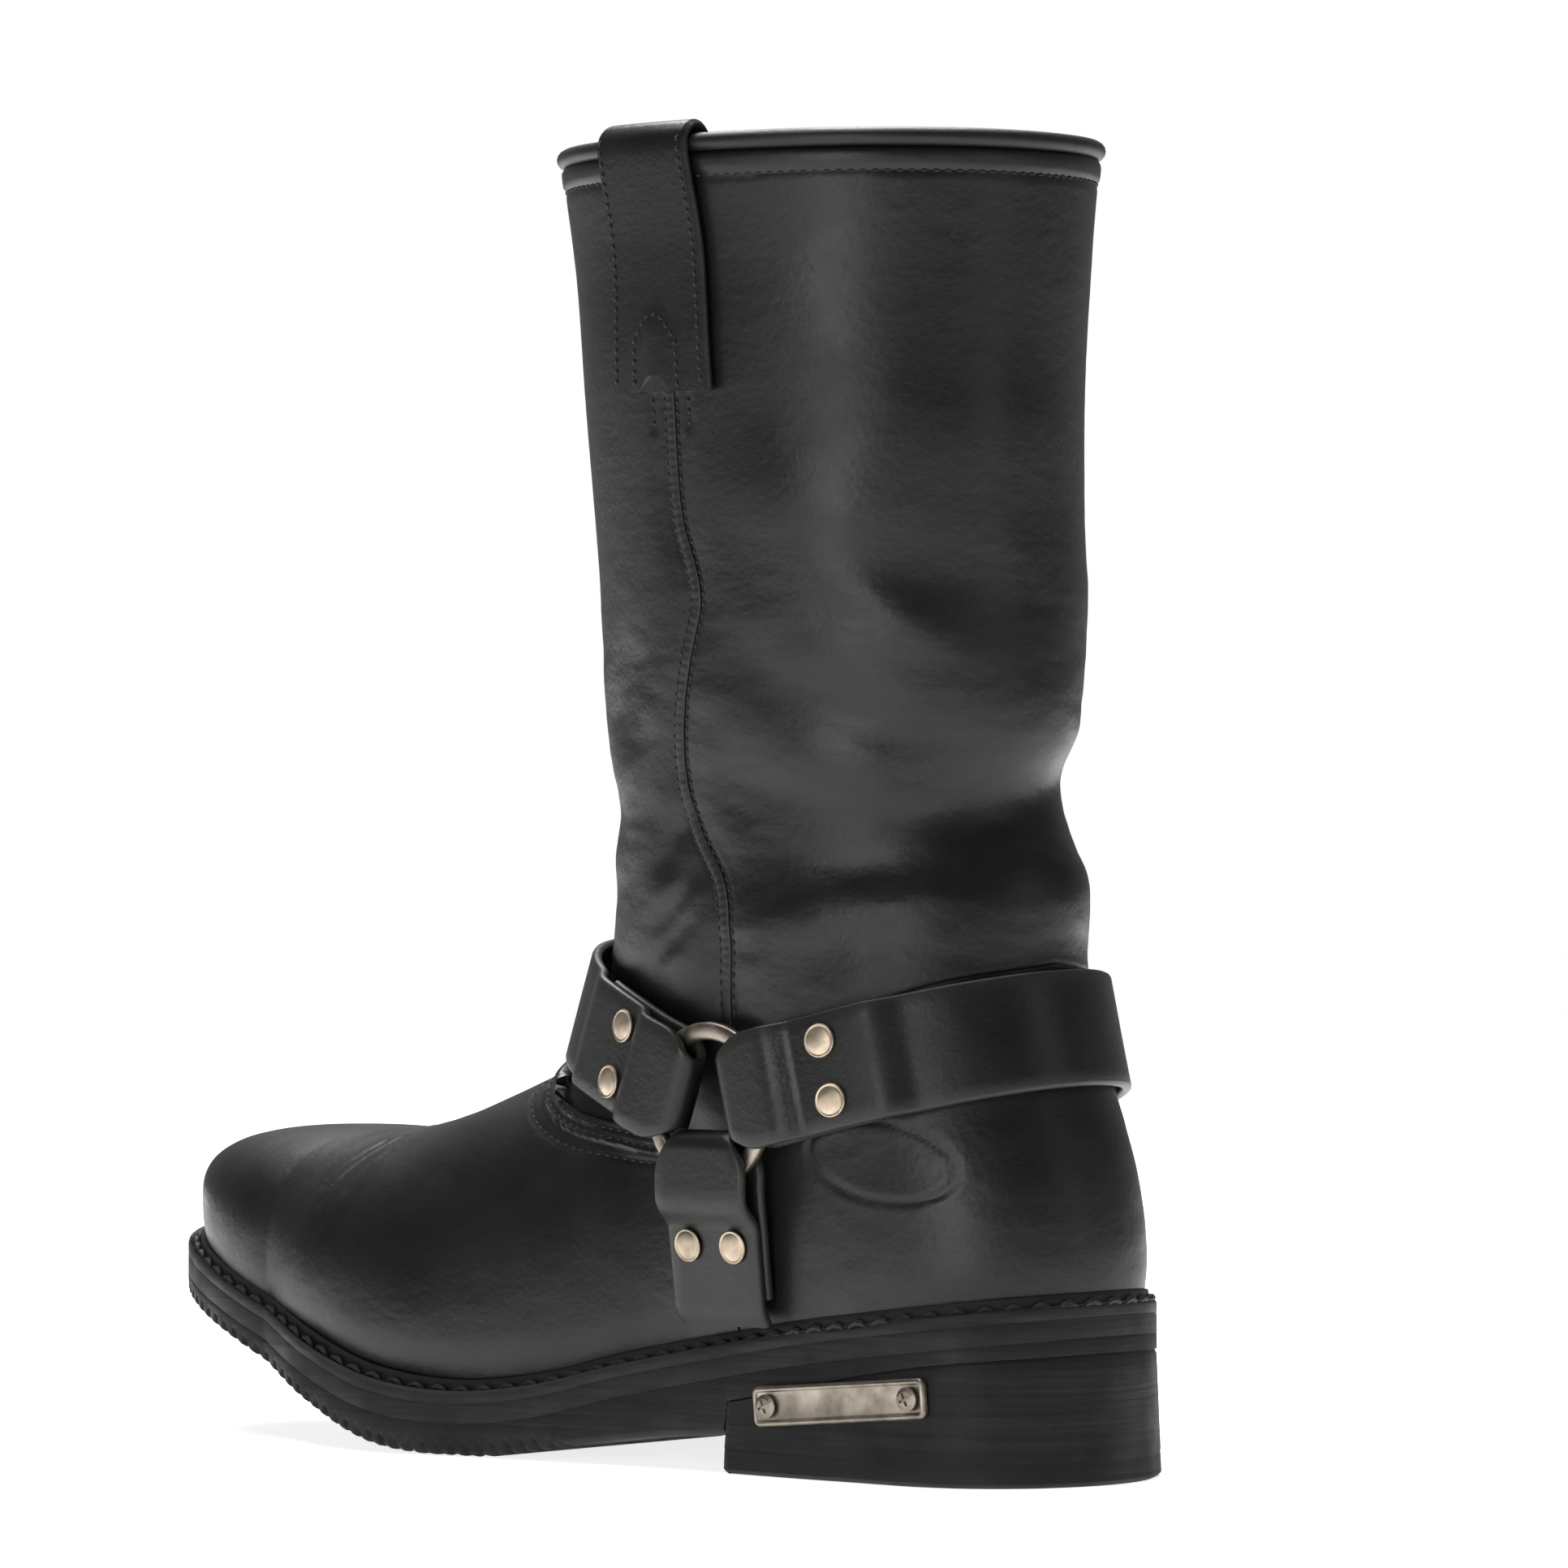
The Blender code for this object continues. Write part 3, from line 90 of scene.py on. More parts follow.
STRAP_WIDTH = LOWER_HIGH.x - LOWER_LOW.x
STRAP_THICK = 0.0027
FOLD_RADIUS = RING_THICK / 2 + 1.5 * GAP + STRAP_THICK / 2
FOLD_START = RING_RADIUS - RING_WIDE - 0.0049
TAIL_LENGTH = 0.0360
RIVET_FRONT = 0.0224
RIVET_BACK = 0.0260
RIVET_DOWN = 0.0225
RIVET_SPACING = 0.0145
RIVET_CAP = 0.0041
FRONT_STRAP_RISE = math.radians(19.6)
BACK_STRAP_RISE = math.radians(14.0)
STRAP_SWING = math.radians(3.0)
STRAP_CLEAR = 0.0011
LOWER_STRAP_FOOT = 0.0022 + 2 * GAP

WELT_THICK = 0.0034
WELT_RIDGE = 0.0026
WELT_CLEAR = LAP_PROUD + 0.0005
WELT_CHANNEL = (WELT_CLEAR + 0.0012, WELT_CLEAR + 0.0036)
WELT_LIP = 0.0008
CHANNEL_DEPTH = 0.0011
WELT_STITCH_SEAT = 0.00005
WELT_STITCH = {"pitch": 0.0068, "length": 0.0054, "radius": 0.00092}
MIDSOLE_THICK = 0.0042
HEEL_BREAST = 0.089 * LONG
TOP_LIFT = 0.0060
FEATHER_DROP = WELT_THICK - 0.0010

PULL_STRAP_THICK = 0.0026
PULL_STRAP_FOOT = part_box("pull_strap_lateral")[0].z
PULL_WALL = 0.0019  # from the leg's outer face to the middle of its wall
PULL_FOLD = 0.0031
PULL_NOTCH = 0.0040
PULL_SEAM_BULGE = 0.0009
STITCH = 0.0029
STITCH_LENGTH = 0.0021
STITCH_RADIUS = 0.00038


def curve(*knots):
    """A smooth function through (place, value) knots, held level beyond the first and the last."""
    place, value = np.array(knots, float).T
    step = np.diff(place)
    slope = np.diff(value) / step
    inner = (slope[:-1] * step[1:] + slope[1:] * step[:-1]) / (step[1:] + step[:-1])
    tangent = np.concatenate([[slope[0]], inner, [slope[-1]]])

    def at(x):
        x = np.clip(np.asarray(x, float), place[0], place[-1])
        i = np.clip(np.searchsorted(place, x, side="right") - 1, 0, len(place) - 2)
        s = (x - place[i]) / step[i]
        rise = s * s * (3 - 2 * s)
        bend = step[i] * (s * (1 - s) ** 2 * tangent[i] - s * s * (1 - s) * tangent[i + 1])
        return value[i] + rise * (value[i + 1] - value[i]) + bend

    return at


# Sole, by place along the boot: the welt's top, the underside, and both sides of the outline
WELT_TOP = curve((0, 0.0435), (0.041, 0.0387), (0.066, 0.0354), (0.091, 0.0312), (0.126, 0.0244),
                 (0.150, 0.0187), (0.175, 0.0162), (0.199, 0.0187), (0.223, 0.0256), (0.248, 0.0346),
                 (0.280, 0.0450), (0.306, 0.0515))
SOLE_UNDER = curve((0.089, 0.0092), (0.120, 0.0066), (0.138, 0.0042), (0.152, 0.0018), (0.166, 0), (0.182, 0),
                   (0.197, 0.0016), (0.224, 0.0104), (0.250, 0.0208), (0.275, 0.0292), (0.306, 0.0380))
HEEL_SEAT = curve((0, 0.0314), (0.025, 0.0290), (0.089, 0.0175))
SOLE_LATERAL = curve((0.038, 0.0390), (0.075, 0.0400), (0.115, 0.0410), (0.160, 0.0475), (0.200, 0.0535),
                     (0.225, 0.0500), (0.245, 0.0435))
SOLE_MEDIAL = curve((0.038, -0.0390), (0.075, -0.0380), (0.115, -0.0360), (0.150, -0.0395), (0.185, -0.0480),
                    (0.215, -0.0545), (0.245, -0.0535))
SOLE_TOE = (0.240, 0.066)
SOLE_HEEL = (0.038, 0.038)

# Foot of the upper: widest lines of both sides, the ridge of the instep, and how square its sections are
FOOT_LATERAL = curve((0.040, 0.030), (0.090, 0.033), (0.120, 0.036), (0.150, 0.0415), (0.180, 0.0470),
                     (0.205, 0.0495), (0.225, 0.0465), (0.245, 0.0410))
FOOT_MEDIAL = curve((0.040, -0.030), (0.090, -0.031), (0.120, -0.031), (0.150, -0.036), (0.180, -0.043),
                    (0.205, -0.0480), (0.225, -0.0495), (0.245, -0.0490))
RIDGE = curve((0.040, 0.096), (0.090, 0.104), (0.120, 0.106), (0.150, 0.102), (0.170, 0.0950),
              (0.184, 0.0895), (0.200, 0.0835), (0.217, 0.0790), (0.235, 0.0768), (0.253, 0.0772),
              (0.284, 0.0795))
SQUARENESS = curve((0.060, 2.2), (0.120, 2.0), (0.180, 1.95), (0.220, 2.15), (0.260, 2.5), (0.300, 2.6))
FOOT_TOE = (0.240, 0.059)
FOOT_HEEL = (0.055, 0.042)
WIDEST_OVER_WELT = 0.013
UNDERCUT = 0.032

# Leg, by height: back, front, half width, and where the halves meet the widest line
LEG_BACK = curve((0.030, 0.0070), (0.050, 0.0035), (0.070, 0.0060), (0.090, 0.0115), (0.110, 0.0165),
                 (0.123, 0.0192), (0.139, 0.0196), (0.157, 0.0250), (0.179, 0.0224), (0.219, 0.0240),
                 (0.298, 0.0224), (0.322, 0.0205))
LEG_FRONT = curve((0.030, 0.120), (0.080, 0.125), (0.095, 0.138), (0.110, 0.1500), (0.123, 0.1520),
                  (0.131, 0.1505), (0.147, 0.1490), (0.163, 0.1480), (0.179, 0.1505), (0.219, 0.1525),
                  (0.258, 0.1555), (0.298, 0.1600), (0.322, 0.1630))
LEG_HALF_WIDTH = curve((0.030, 0.0350), (0.050, 0.0373), (0.080, 0.0385), (0.100, 0.0400), (0.130, 0.0435),
                       (0.160, 0.0440), (0.190, 0.0475), (0.220, 0.0500), (0.260, 0.0520), (0.298, 0.0540),
                       (0.322, 0.0570))
LEG_MIDDLE = curve((0.030, 0.052), (0.050, 0.054), (0.080, 0.062), (0.100, 0.074), (0.123, 0.088),
                   (0.220, 0.090), (0.322, 0.093))
LEG_ROUNDNESS = 2.1
INSTEP_BLEND = 0.021

# Lines cut across the surface: the side seam by height; the vamp's throat and the counter's top by degrees
# round the leg from straight ahead
SIDE_SEAM = curve((0.040, 0.0885), (0.112, 0.0880), (0.130, 0.0868), (0.142, 0.0885), (0.154, 0.0960),
                  (0.167, 0.1000), (0.179, 0.0995), (0.198, 0.0950), (0.210, 0.0915), (0.230, 0.0965),
                  (0.257, 0.0975), (0.322, 0.0985))
THROAT = curve((0, 0.0985), (8, 0.0965), (16, 0.0905), (25, 0.0845), (36, 0.0820), (60, 0.0814), (90, 0.0820))
COUNTER_TOP = curve((90, 0.0820), (105, 0.0970), (120, 0.1065), (138, 0.1130), (155, 0.1190), (180, 0.1230))
RIDGE_END = 0.262
SEAM_SHARE = 0.05  # the place along the boot whose welt height starts the search for the heel's edge
HUB_RISE = 0.022  # how far the centre that foot lines are drawn from stands over the welt
HUB_LIMIT = 0.243
UPWARD = np.array([0.0, 0.0, 1.0])

# How the surface is searched
LEG_SCALE = 0.048  # these two turn shares of a section into rough distances
FOOT_SCALE = 0.045
LEAST_RISE = 0.005
RAY_REACH = 0.24
HALVINGS = 26
NUDGE = 2e-4
SETTLE_ROUNDS = 3
RELAX_ROUNDS = 60
EDGE_ROUNDS = 5


def ease(x, low, high):
    """Zero below low, one above high, smooth between."""
    s = np.clip((x - low) / (high - low), 0, 1)
    return s * s * (3 - 2 * s)


def field(x, y, z):
    """Below zero inside the boot, zero on its pattern surface: a foot and a leg, blended at the instep."""
    x = x / LONG
    y = y / WIDE
    z = z / TALL
    middle = LEG_MIDDLE(z)
    reach = np.where(x > middle, LEG_FRONT(z) - middle, middle - LEG_BACK(z))
    around = (np.abs(x - middle) / reach) ** LEG_ROUNDNESS + (np.abs(y) / LEG_HALF_WIDTH(z)) ** LEG_ROUNDNESS
    leg = LEG_SCALE * (around ** (1 / LEG_ROUNDNESS) - 1)
    lateral = FOOT_LATERAL(x)
    medial = FOOT_MEDIAL(x)
    along = np.maximum((x - FOOT_TOE[0]) / FOOT_TOE[1], 0) + np.maximum((FOOT_HEEL[0] - x) / FOOT_HEEL[1], 0)
    across = (y - (lateral + medial) / 2) / ((lateral - medial) / 2)
    widest = WELT_TOP(x) + WIDEST_OVER_WELT
    over = (z - widest) / np.maximum(RIDGE(x) - widest, LEAST_RISE)
    up = np.where(z > widest, over, (widest - z) / UNDERCUT)
    power = SQUARENESS(x)
    foot = FOOT_SCALE * (((along ** 2 + across ** 2) ** (power / 2) + np.abs(up) ** power) ** (1 / power) - 1)
    near = np.maximum(INSTEP_BLEND - np.abs(leg - foot), 0) / INSTEP_BLEND
    return np.minimum(leg, foot) - near * near * INSTEP_BLEND / 4


def unit(vectors):
    return vectors / np.linalg.norm(vectors, axis=1)[:, None]


def shoot(start, heading, reach=RAY_REACH, shape=field):
    """Where rays from inside a shape leave it."""
    near = np.zeros(len(start))
    far = np.full(len(start), reach)
    for _ in range(HALVINGS):
        half = (near + far) / 2
        inside = shape(*(start + half[:, None] * heading).T) < 0
        near = np.where(inside, half, near)
        far = np.where(inside, far, half)
    return start + far[:, None] * heading


def slopes(points):
    """The direction and steepness in which the field grows."""
    grown = [field(*(points + NUDGE * axis).T) - field(*(points - NUDGE * axis).T) for axis in np.eye(3)]
    return np.array(grown).T / (2 * NUDGE)


def normals(points):
    """Unit vectors straight out of the pattern surface."""
    return unit(slopes(points.reshape(-1, 3))).reshape(points.shape)


def level_normals(points):
    """Unit vectors out of the pattern surface, kept level."""
    return unit(normals(points) * [1, 1, 0])


def settle(points):
    """The points moved straight onto the pattern surface."""
    flat = points.reshape(-1, 3)
    for _ in range(SETTLE_ROUNDS):
        slope = slopes(flat)
        flat = flat - slope * (field(*flat.T) / (slope ** 2).sum(axis=1))[:, None]
    return flat.reshape(points.shape)


def even(line, count):
    """The same line with its points at equal distances."""
    length = np.concatenate([[0], np.cumsum(np.linalg.norm(np.diff(line, axis=0), axis=1))])
    wanted = np.linspace(0, length[-1], count)
    return np.array([np.interp(wanted, length, line[:, i]) for i in range(line.shape[1])]).T


def spread(points, count):
    """The points resampled smoothly along their first axis."""
    at = np.linspace(0, len(points) - 1, count)
    i = np.clip(at.astype(int), 0, len(points) - 2)
    s = (at - i).reshape((-1,) + (1,) * (points.ndim - 1))
    slope = np.gradient(points, axis=0)
    kept = (1 + 2 * s) * (1 - s) ** 2 * points[i] + s * s * (3 - 2 * s) * points[i + 1]
    return kept + s * (1 - s) ** 2 * slope[i] - s * s * (1 - s) * slope[i + 1]


def relaxed(grid):
    """The grid with its inner points evened out over the surface."""
    grid = grid.copy()
    for _ in range(RELAX_ROUNDS):
        grid[1:-1, 1:-1] = (grid[:-2, 1:-1] + grid[2:, 1:-1] + grid[1:-1, :-2] + grid[1:-1, 2:]) / 4
        grid = settle(grid)
    return grid


def fine(grid, lines, rows):
    """A coarse grid of the surface refined, with every point on the surface."""
    return settle(spread(spread(grid, lines).swapaxes(0, 1), rows).swapaxes(0, 1))


def on_leg(z, degrees):
    """Points of the surface at heights z, looking out from the side seam's plane in one direction."""
    z = np.atleast_1d(np.asarray(z, float))
    angle = math.radians(degrees)
    start = np.stack([SIDE_SEAM(z / TALL) * LONG, 0 * z, z], axis=1)
    return shoot(start, np.tile([math.cos(angle), math.sin(angle), 0], (len(z), 1)))


def foot_centre(x):
    return (FOOT_LATERAL(x / LONG) + FOOT_MEDIAL(x / LONG)) / 2 * WIDE


def welt_z(x, above=0.0):
    """The height of the welt's top at places along the boot, or a line above it."""
    return (WELT_TOP(x / LONG) + above) * TALL


def foot_hub(x):
    """The centre of the foot's section at a place along it."""
    return np.array([x, foot_centre(x), welt_z(x, HUB_RISE)])


def feather(place, side, drop=0.0):
    """A point of the upper's lower edge. Past the toe's centre, place turns round the toe instead."""
    centre = FOOT_TOE[0] * LONG
    turn = max(0.0, (place - centre) / (FOOT_TOE[1] * LONG)) * math.pi / 2
    x = min(place, centre)
    heading = np.array([[math.sin(turn), side * math.cos(turn), 0]])
    point = np.array([x, 0, 0])
    for _ in range(EDGE_ROUNDS):
        z = welt_z(point[0]) - drop
        point = shoot(np.array([[x, foot_centre(x), z]]), heading)[0]
    return point


def heel_feather(degrees, drop=0.0):
    """The same round the heel, by direction from the side seam."""
    z = WELT_TOP(SEAM_SHARE) * TALL
    for _ in range(EDGE_ROUNDS):
        point = on_leg(z, degrees)[0]
        z = welt_z(point[0]) - drop
    return point


def fan(low, high, count):
    """A line over the foot's surface from one point to another, seen from a centre inside the foot."""
    centre = foot_hub(min((low[0] + high[0]) / 2, HUB_LIMIT * LONG))
    first = (low - centre) / np.linalg.norm(low - centre)
    last = (high - centre) / np.linalg.norm(high - centre)
    turn = math.acos(float(np.clip(first @ last, -1, 1)))
    share = np.linspace(0, 1, count)[:, None]
    heading = (np.sin((1 - share) * turn) * first + np.sin(share * turn) * last) / math.sin(turn)
    return shoot(np.tile(centre, (count, 1)), heading)


def joint_height(degrees):
    """Where the leg ends: at the vamp's throat in front, at the counter's top behind."""
    turn = abs((degrees + 180) % 360 - 180)
    line = THROAT if turn <= 90 else COUNTER_TOP
    return float(line(turn)) * TALL


def nearest(points, line):
    """The distance from each point to the closest point of a dense line."""
    tree = kdtree.KDTree(len(line))
    for i, point in enumerate(line):
        tree.insert(point, i)
    tree.balance()
    return np.array([tree.find(point)[2] for point in points])


def rough(points, scale, seed):
    """Smooth noise from -1 to 1 at each point; scale is waves per metre along x, y and z."""
    spots = points * np.asarray(scale) + seed * 17.3
    return np.array([noise.noise(Vector(spot)) for spot in spots])


# Materials


def shader(name, **sockets):
    """A new material, its node tree, and its main shader with some sockets set."""
    made = bpy.data.materials.new(name)
    made.use_nodes = True
    skin = made.node_tree.nodes["Principled BSDF"]
    for socket, value in sockets.items():
        skin.inputs[socket.replace("_", " ")].default_value = value
    return made, made.node_tree, skin


def feed(tree, skin, **sockets):
    """Links values into sockets of a shader."""
    for socket, value in sockets.items():
        tree.links.new(value, skin.inputs[socket.replace("_", " ")])


def node(tree, kind, inputs=(), **settings):
    """A new shader node with its settings, and its sockets either linked or given a value."""
    made = tree.nodes.new("ShaderNode" + kind)
    for key, value in settings.items():
        setattr(made, key, value)
    for key, value in dict(inputs).items():
        if isinstance(value, bpy.types.NodeSocket):
            tree.links.new(value, made.inputs[key])
        else:
            made.inputs[key].default_value = value
    return made


def stretched(tree, scale):
    """Object coordinates stretched along the axes."""
    place = node(tree, "TexCoord").outputs["Object"]
    return node(tree, "Mapping", {"Vector": place, "Scale": scale}).outputs["Vector"]


def clouds(tree, scale, detail=3.0, stretch=(1, 1, 1)):
    spot = stretched(tree, stretch)
    return node(tree, "TexNoise", {"Vector": spot, "Scale": scale, "Detail": detail}).outputs["Fac"]


def between(tree, amount, low, high, low_at=0.3, high_at=0.7):
    """A value that runs from low to high as amount runs over its own range."""
    ends = {"From Min": low_at, "From Max": high_at, "To Min": low, "To Max": high}
    return node(tree, "MapRange", {"Value": amount, **ends}).outputs["Result"]


def mixed(tree, amount, first, second):
    """A colour between two, each a socket or a plain colour."""
    made = node(tree, "Mix", data_type="RGBA")
    tree.links.new(amount, made.inputs[0])
    for index, colour in ((6, first), (7, second)):
        if isinstance(colour, bpy.types.NodeSocket):
            tree.links.new(colour, made.inputs[index])
        else:
            made.inputs[index].default_value = (*colour, 1)
    return made.outputs[2]


def bumped(tree, layers):
    """A normal from (height, depth in metres, strength) layers."""
    normal = None
    for height, depth, strength in layers:
        made = node(tree, "Bump", {"Height": height, "Distance": depth, "Strength": strength})
        if normal is not None:
            tree.links.new(normal, made.inputs["Normal"])
        normal = made.outputs["Normal"]
    return normal


def wear_and_highlight_tone(tree, tone, light):
    """The tone, lighter where the mesh marks it: real wear on the sole and welt, a painted highlight along
    the straps' edges.
    """
    worn_and_highlit = node(tree, "Attribute", attribute_name="wear_and_highlight").outputs["Fac"]
    return mixed(tree, worn_and_highlit, tone, light)


def leather(name, dark, light, roughness, grain=820.0, wrinkles=0.22):
    """Smooth full-grain leather: cloudy dye, fine pores, faint wrinkles, and a painted highlight that
    lightens edges the mesh marks.
    """
    made, tree, skin = shader(name, Specular_IOR_Level=0.36)
    dye = mixed(tree, between(tree, clouds(tree, 22, 5), 0, 1), dark, light)
    # Painted highlight: marked strap edges are lightened towards this colour.
    tone = wear_and_highlight_tone(tree, dye, tuple(LEATHER_EDGE_HIGHLIGHT * part for part in light))
    polish = between(tree, clouds(tree, 38, 4), roughness - 0.07, roughness + 0.09)
    pores = node(tree, "TexVoronoi", {"Vector": stretched(tree, (1, 1, 1)), "Scale": grain},
                 feature="SMOOTH_F1")
    folds = clouds(tree, 1.0, 6, (120, 120, 190))
    creases = clouds(tree, 1.0, 5, (420, 420, 520))
    layers = [(pores.outputs["Distance"], 0.00010, 0.35), (creases, 0.00022, 0.40), (folds, 0.0007, wrinkles)]
    feed(tree, skin, Base_Color=tone, Roughness=polish, Normal=bumped(tree, layers))
    return made


def rubber(name, dark, light, streaks):
    """Sole rubber: buffed sides with streaks that run level round the edge, dusty in places."""
    made, tree, skin = shader(name, Specular_IOR_Level=0.27)
    level = clouds(tree, 1.0, 6, (14, 14, streaks))
    dust = clouds(tree, 70, 6)
    tone = mixed(tree, between(tree, level, 0, 1, 0.35, 0.7), dark, light)
    tone = wear_and_highlight_tone(tree, tone, tuple(RUBBED_RUBBER * part for part in light))
    layers = [(level, 0.00035, 0.55), (dust, 0.00020, 0.35), (clouds(tree, 1500, 2), 0.00008, 0.4)]
    feed(tree, skin, Base_Color=tone, Roughness=between(tree, dust, 0.50, 0.78), Normal=bumped(tree, layers))
    return made


def antique_metal(name, bright, dull, roughness):
    """Plated metal with a cloudy patina and fine scratches."""
    made, tree, skin = shader(name, Metallic=1.0)
    patina = clouds(tree, 160, 6)
    tone = mixed(tree, between(tree, patina, 0, 1, 0.40, 0.75), bright, dull)
    polish = between(tree, clouds(tree, 300, 4), roughness - 0.08, roughness + 0.14)
    layers = [(clouds(tree, 1.0, 4, (2600, 700, 900)), 0.00005, 0.30), (patina, 0.00010, 0.25)]
    feed(tree, skin, Base_Color=tone, Roughness=polish, Normal=bumped(tree, layers))
    return made


def fibrous(name, dark, light, roughness, scale, depth):
    """Board, cork, felt, raw leather or thread: a mottled colour over a matching bump."""
    made, tree, skin = shader(name, Roughness=roughness, Specular_IOR_Level=0.25)
    fibres = clouds(tree, scale, 7)
    tone = mixed(tree, between(tree, fibres, 0, 1), dark, light)
    feed(tree, skin, Base_Color=tone, Normal=bumped(tree, [(fibres, depth, 0.6)]))
    return made


# How much lighter the marked edges are: a painted highlight on the leather straps, wear on the rubber
LEATHER_EDGE_HIGHLIGHT = 3.2
RUBBED_RUBBER = 2.4

UPPER = leather("upper_leather", (0.0035, 0.0038, 0.0036), (0.0075, 0.0080, 0.0077), 0.40)
STRAP = leather("strap_leather", (0.0040, 0.0041, 0.0037), (0.0085, 0.0085, 0.0077), 0.38, 1100, 0.10)
EDGING = leather("edge_leather", (0.0045, 0.0045, 0.0042), (0.0095, 0.0093, 0.0086), 0.46, 900, 0.15)
LINING = fibrous("lining_leather", (0.030, 0.025, 0.021), (0.060, 0.050, 0.042), 0.85, 420, 0.00025)
RUBBER = rubber("sole_rubber", (0.0032, 0.0033, 0.0033), (0.0095, 0.0096, 0.0096), 620)
THREAD = fibrous("waxed_thread", (0.0070, 0.0070, 0.0068), (0.0280, 0.0272, 0.0260), 0.55, 2600, 0.00012)
NICKEL = antique_metal("antique_nickel", (0.35, 0.305, 0.255), (0.15, 0.13, 0.105), 0.38)
RIVET_METAL = antique_metal("rivet_nickel", (0.54, 0.45, 0.34), (0.21, 0.17, 0.125), 0.40)
STEEL = antique_metal("steel", (0.60, 0.60, 0.61), (0.40, 0.40, 0.42), 0.30)
BOARD = fibrous("fibre_board", (0.22, 0.16, 0.10), (0.40, 0.30, 0.20), 0.85, 900, 0.00020)
CORK = fibrous("cork", (0.24, 0.15, 0.08), (0.50, 0.35, 0.20), 0.90, 380, 0.0006)
FELT = fibrous("stiffener_board", (0.20, 0.18, 0.16), (0.36, 0.33, 0.30), 0.90, 1200, 0.00020)


# Building pieces


def publish(name, points, faces, skin, body="boot", crease=40, wear_and_highlight=None, replaces=()):
    """A new piece from pattern-space points, riding on its body."""
    mesh = bpy.data.meshes.new(name)
    mesh.from_pydata((np.asarray(points, float) + [HEEL_BACK, 0, 0]).tolist(), [], faces)
    # The per-point lightening: real wear on the sole and welt, a painted highlight along strap edges.
    if wear_and_highlight is not None:
        shade = mesh.attributes.new("wear_and_highlight", "FLOAT", "POINT")
        shade.data.foreach_set("value", np.asarray(wear_and_highlight, np.float32))
    mesh.materials.append(skin)
    made = bpy.data.objects.new(name, mesh)
    bpy.context.scene.collection.objects.link(made)
    tidy(mesh, crease)
    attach(made, body)
    if replaces:
        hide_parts(*replaces)
    return made


def tidy(mesh, crease):
    """Joins points that meet, turns the faces outwards and shades the mesh."""
    made = bmesh.new()
    made.from_mesh(mesh)
    bmesh.ops.remove_doubles(made, verts=made.verts, dist=2e-6)
    bmesh.ops.recalc_face_normals(made, faces=made.faces)
    made.to_mesh(mesh)
    made.free()
    mesh.shade_smooth()
    mesh.set_sharp_from_angle(angle=math.radians(crease))


def grid_faces(lines, rows, closed=False, first=0):
    """Quads over a grid of lines, each of rows points; closed joins the last line to the first."""
    faces = []
    for i in range(lines if closed else lines - 1):
        one = first + i * rows
        other = first + (i + 1) % lines * rows
        faces += [(one + k, other + k, other + k + 1, one + k + 1) for k in range(rows - 1)]
    return faces


def tube_faces(rings, points, closed=False, first=0):
    """Quads round a tube of rings, with end caps unless it closes on itself."""
    faces = []
    for i in range(rings if closed else rings - 1):
        one = first + i * points
        other = first + (i + 1) % rings * points
        for k in range(points):
            after = (k + 1) % points
            faces.append((one + k, one + after, other + after, other + k))
    if not closed:
        faces.append(tuple(first + k for k in reversed(range(points))))
        faces.append(tuple(first + (rings - 1) * points + k for k in range(points)))
    return faces


def sheet(name, node_name, grids, lift, thick, skin, round_edge=0.0):
    """Leather laid over grids of surface points: lift raises it, and thick counts inwards from there."""
    points = []
    faces = []
    for grid in grids:
        flat = grid.reshape(-1, 3)
        faces += grid_faces(*grid.shape[:2], first=sum(map(len, points)))
        points.append(flat + normals(flat) * lift(flat)[:, None])
    made = publish(name, np.concatenate(points), faces, skin, replaces=[node_name])
    face_out(made.data)
    solid = made.modifiers.new("thickness", "SOLIDIFY")
    solid.thickness = thick
    solid.offset = -1
    if round_edge:
        edge = made.modifiers.new("rounded_edge", "BEVEL")
        edge.width = round_edge
        edge.segments = 3
        edge.limit_method = "ANGLE"
        edge.angle_limit = math.radians(55)


def face_out(mesh):
    """Turns an open sheet of the upper so that its faces look away from the boot's inside."""
    count = len(mesh.polygons)
    centres = np.empty(count * 3)
    facing = np.empty(count * 3)
    mesh.polygons.foreach_get("center", centres)
    mesh.polygons.foreach_get("normal", facing)
    sample = slice(0, count, 97)
    places = centres.reshape(-1, 3)[sample] - [HEEL_BACK, 0, 0]
    if (normals(places) * facing.reshape(-1, 3)[sample]).sum() < 0:
        mesh.flip_normals()


# A stitch in five rings: place along it, thickness and height, in shares of its length and its radius
STITCH_SWELL = ((-0.5, 0.35, -0.9), (-0.36, 0.85, -0.1), (0.0, 1.0, 0.5), (0.36, 0.85, -0.1),
                (0.5, 0.35, -0.9))
STITCH_SIDES = 6
STITCH_LOOK = 4e-4  # how far ahead and behind a stitch looks for the way its row runs


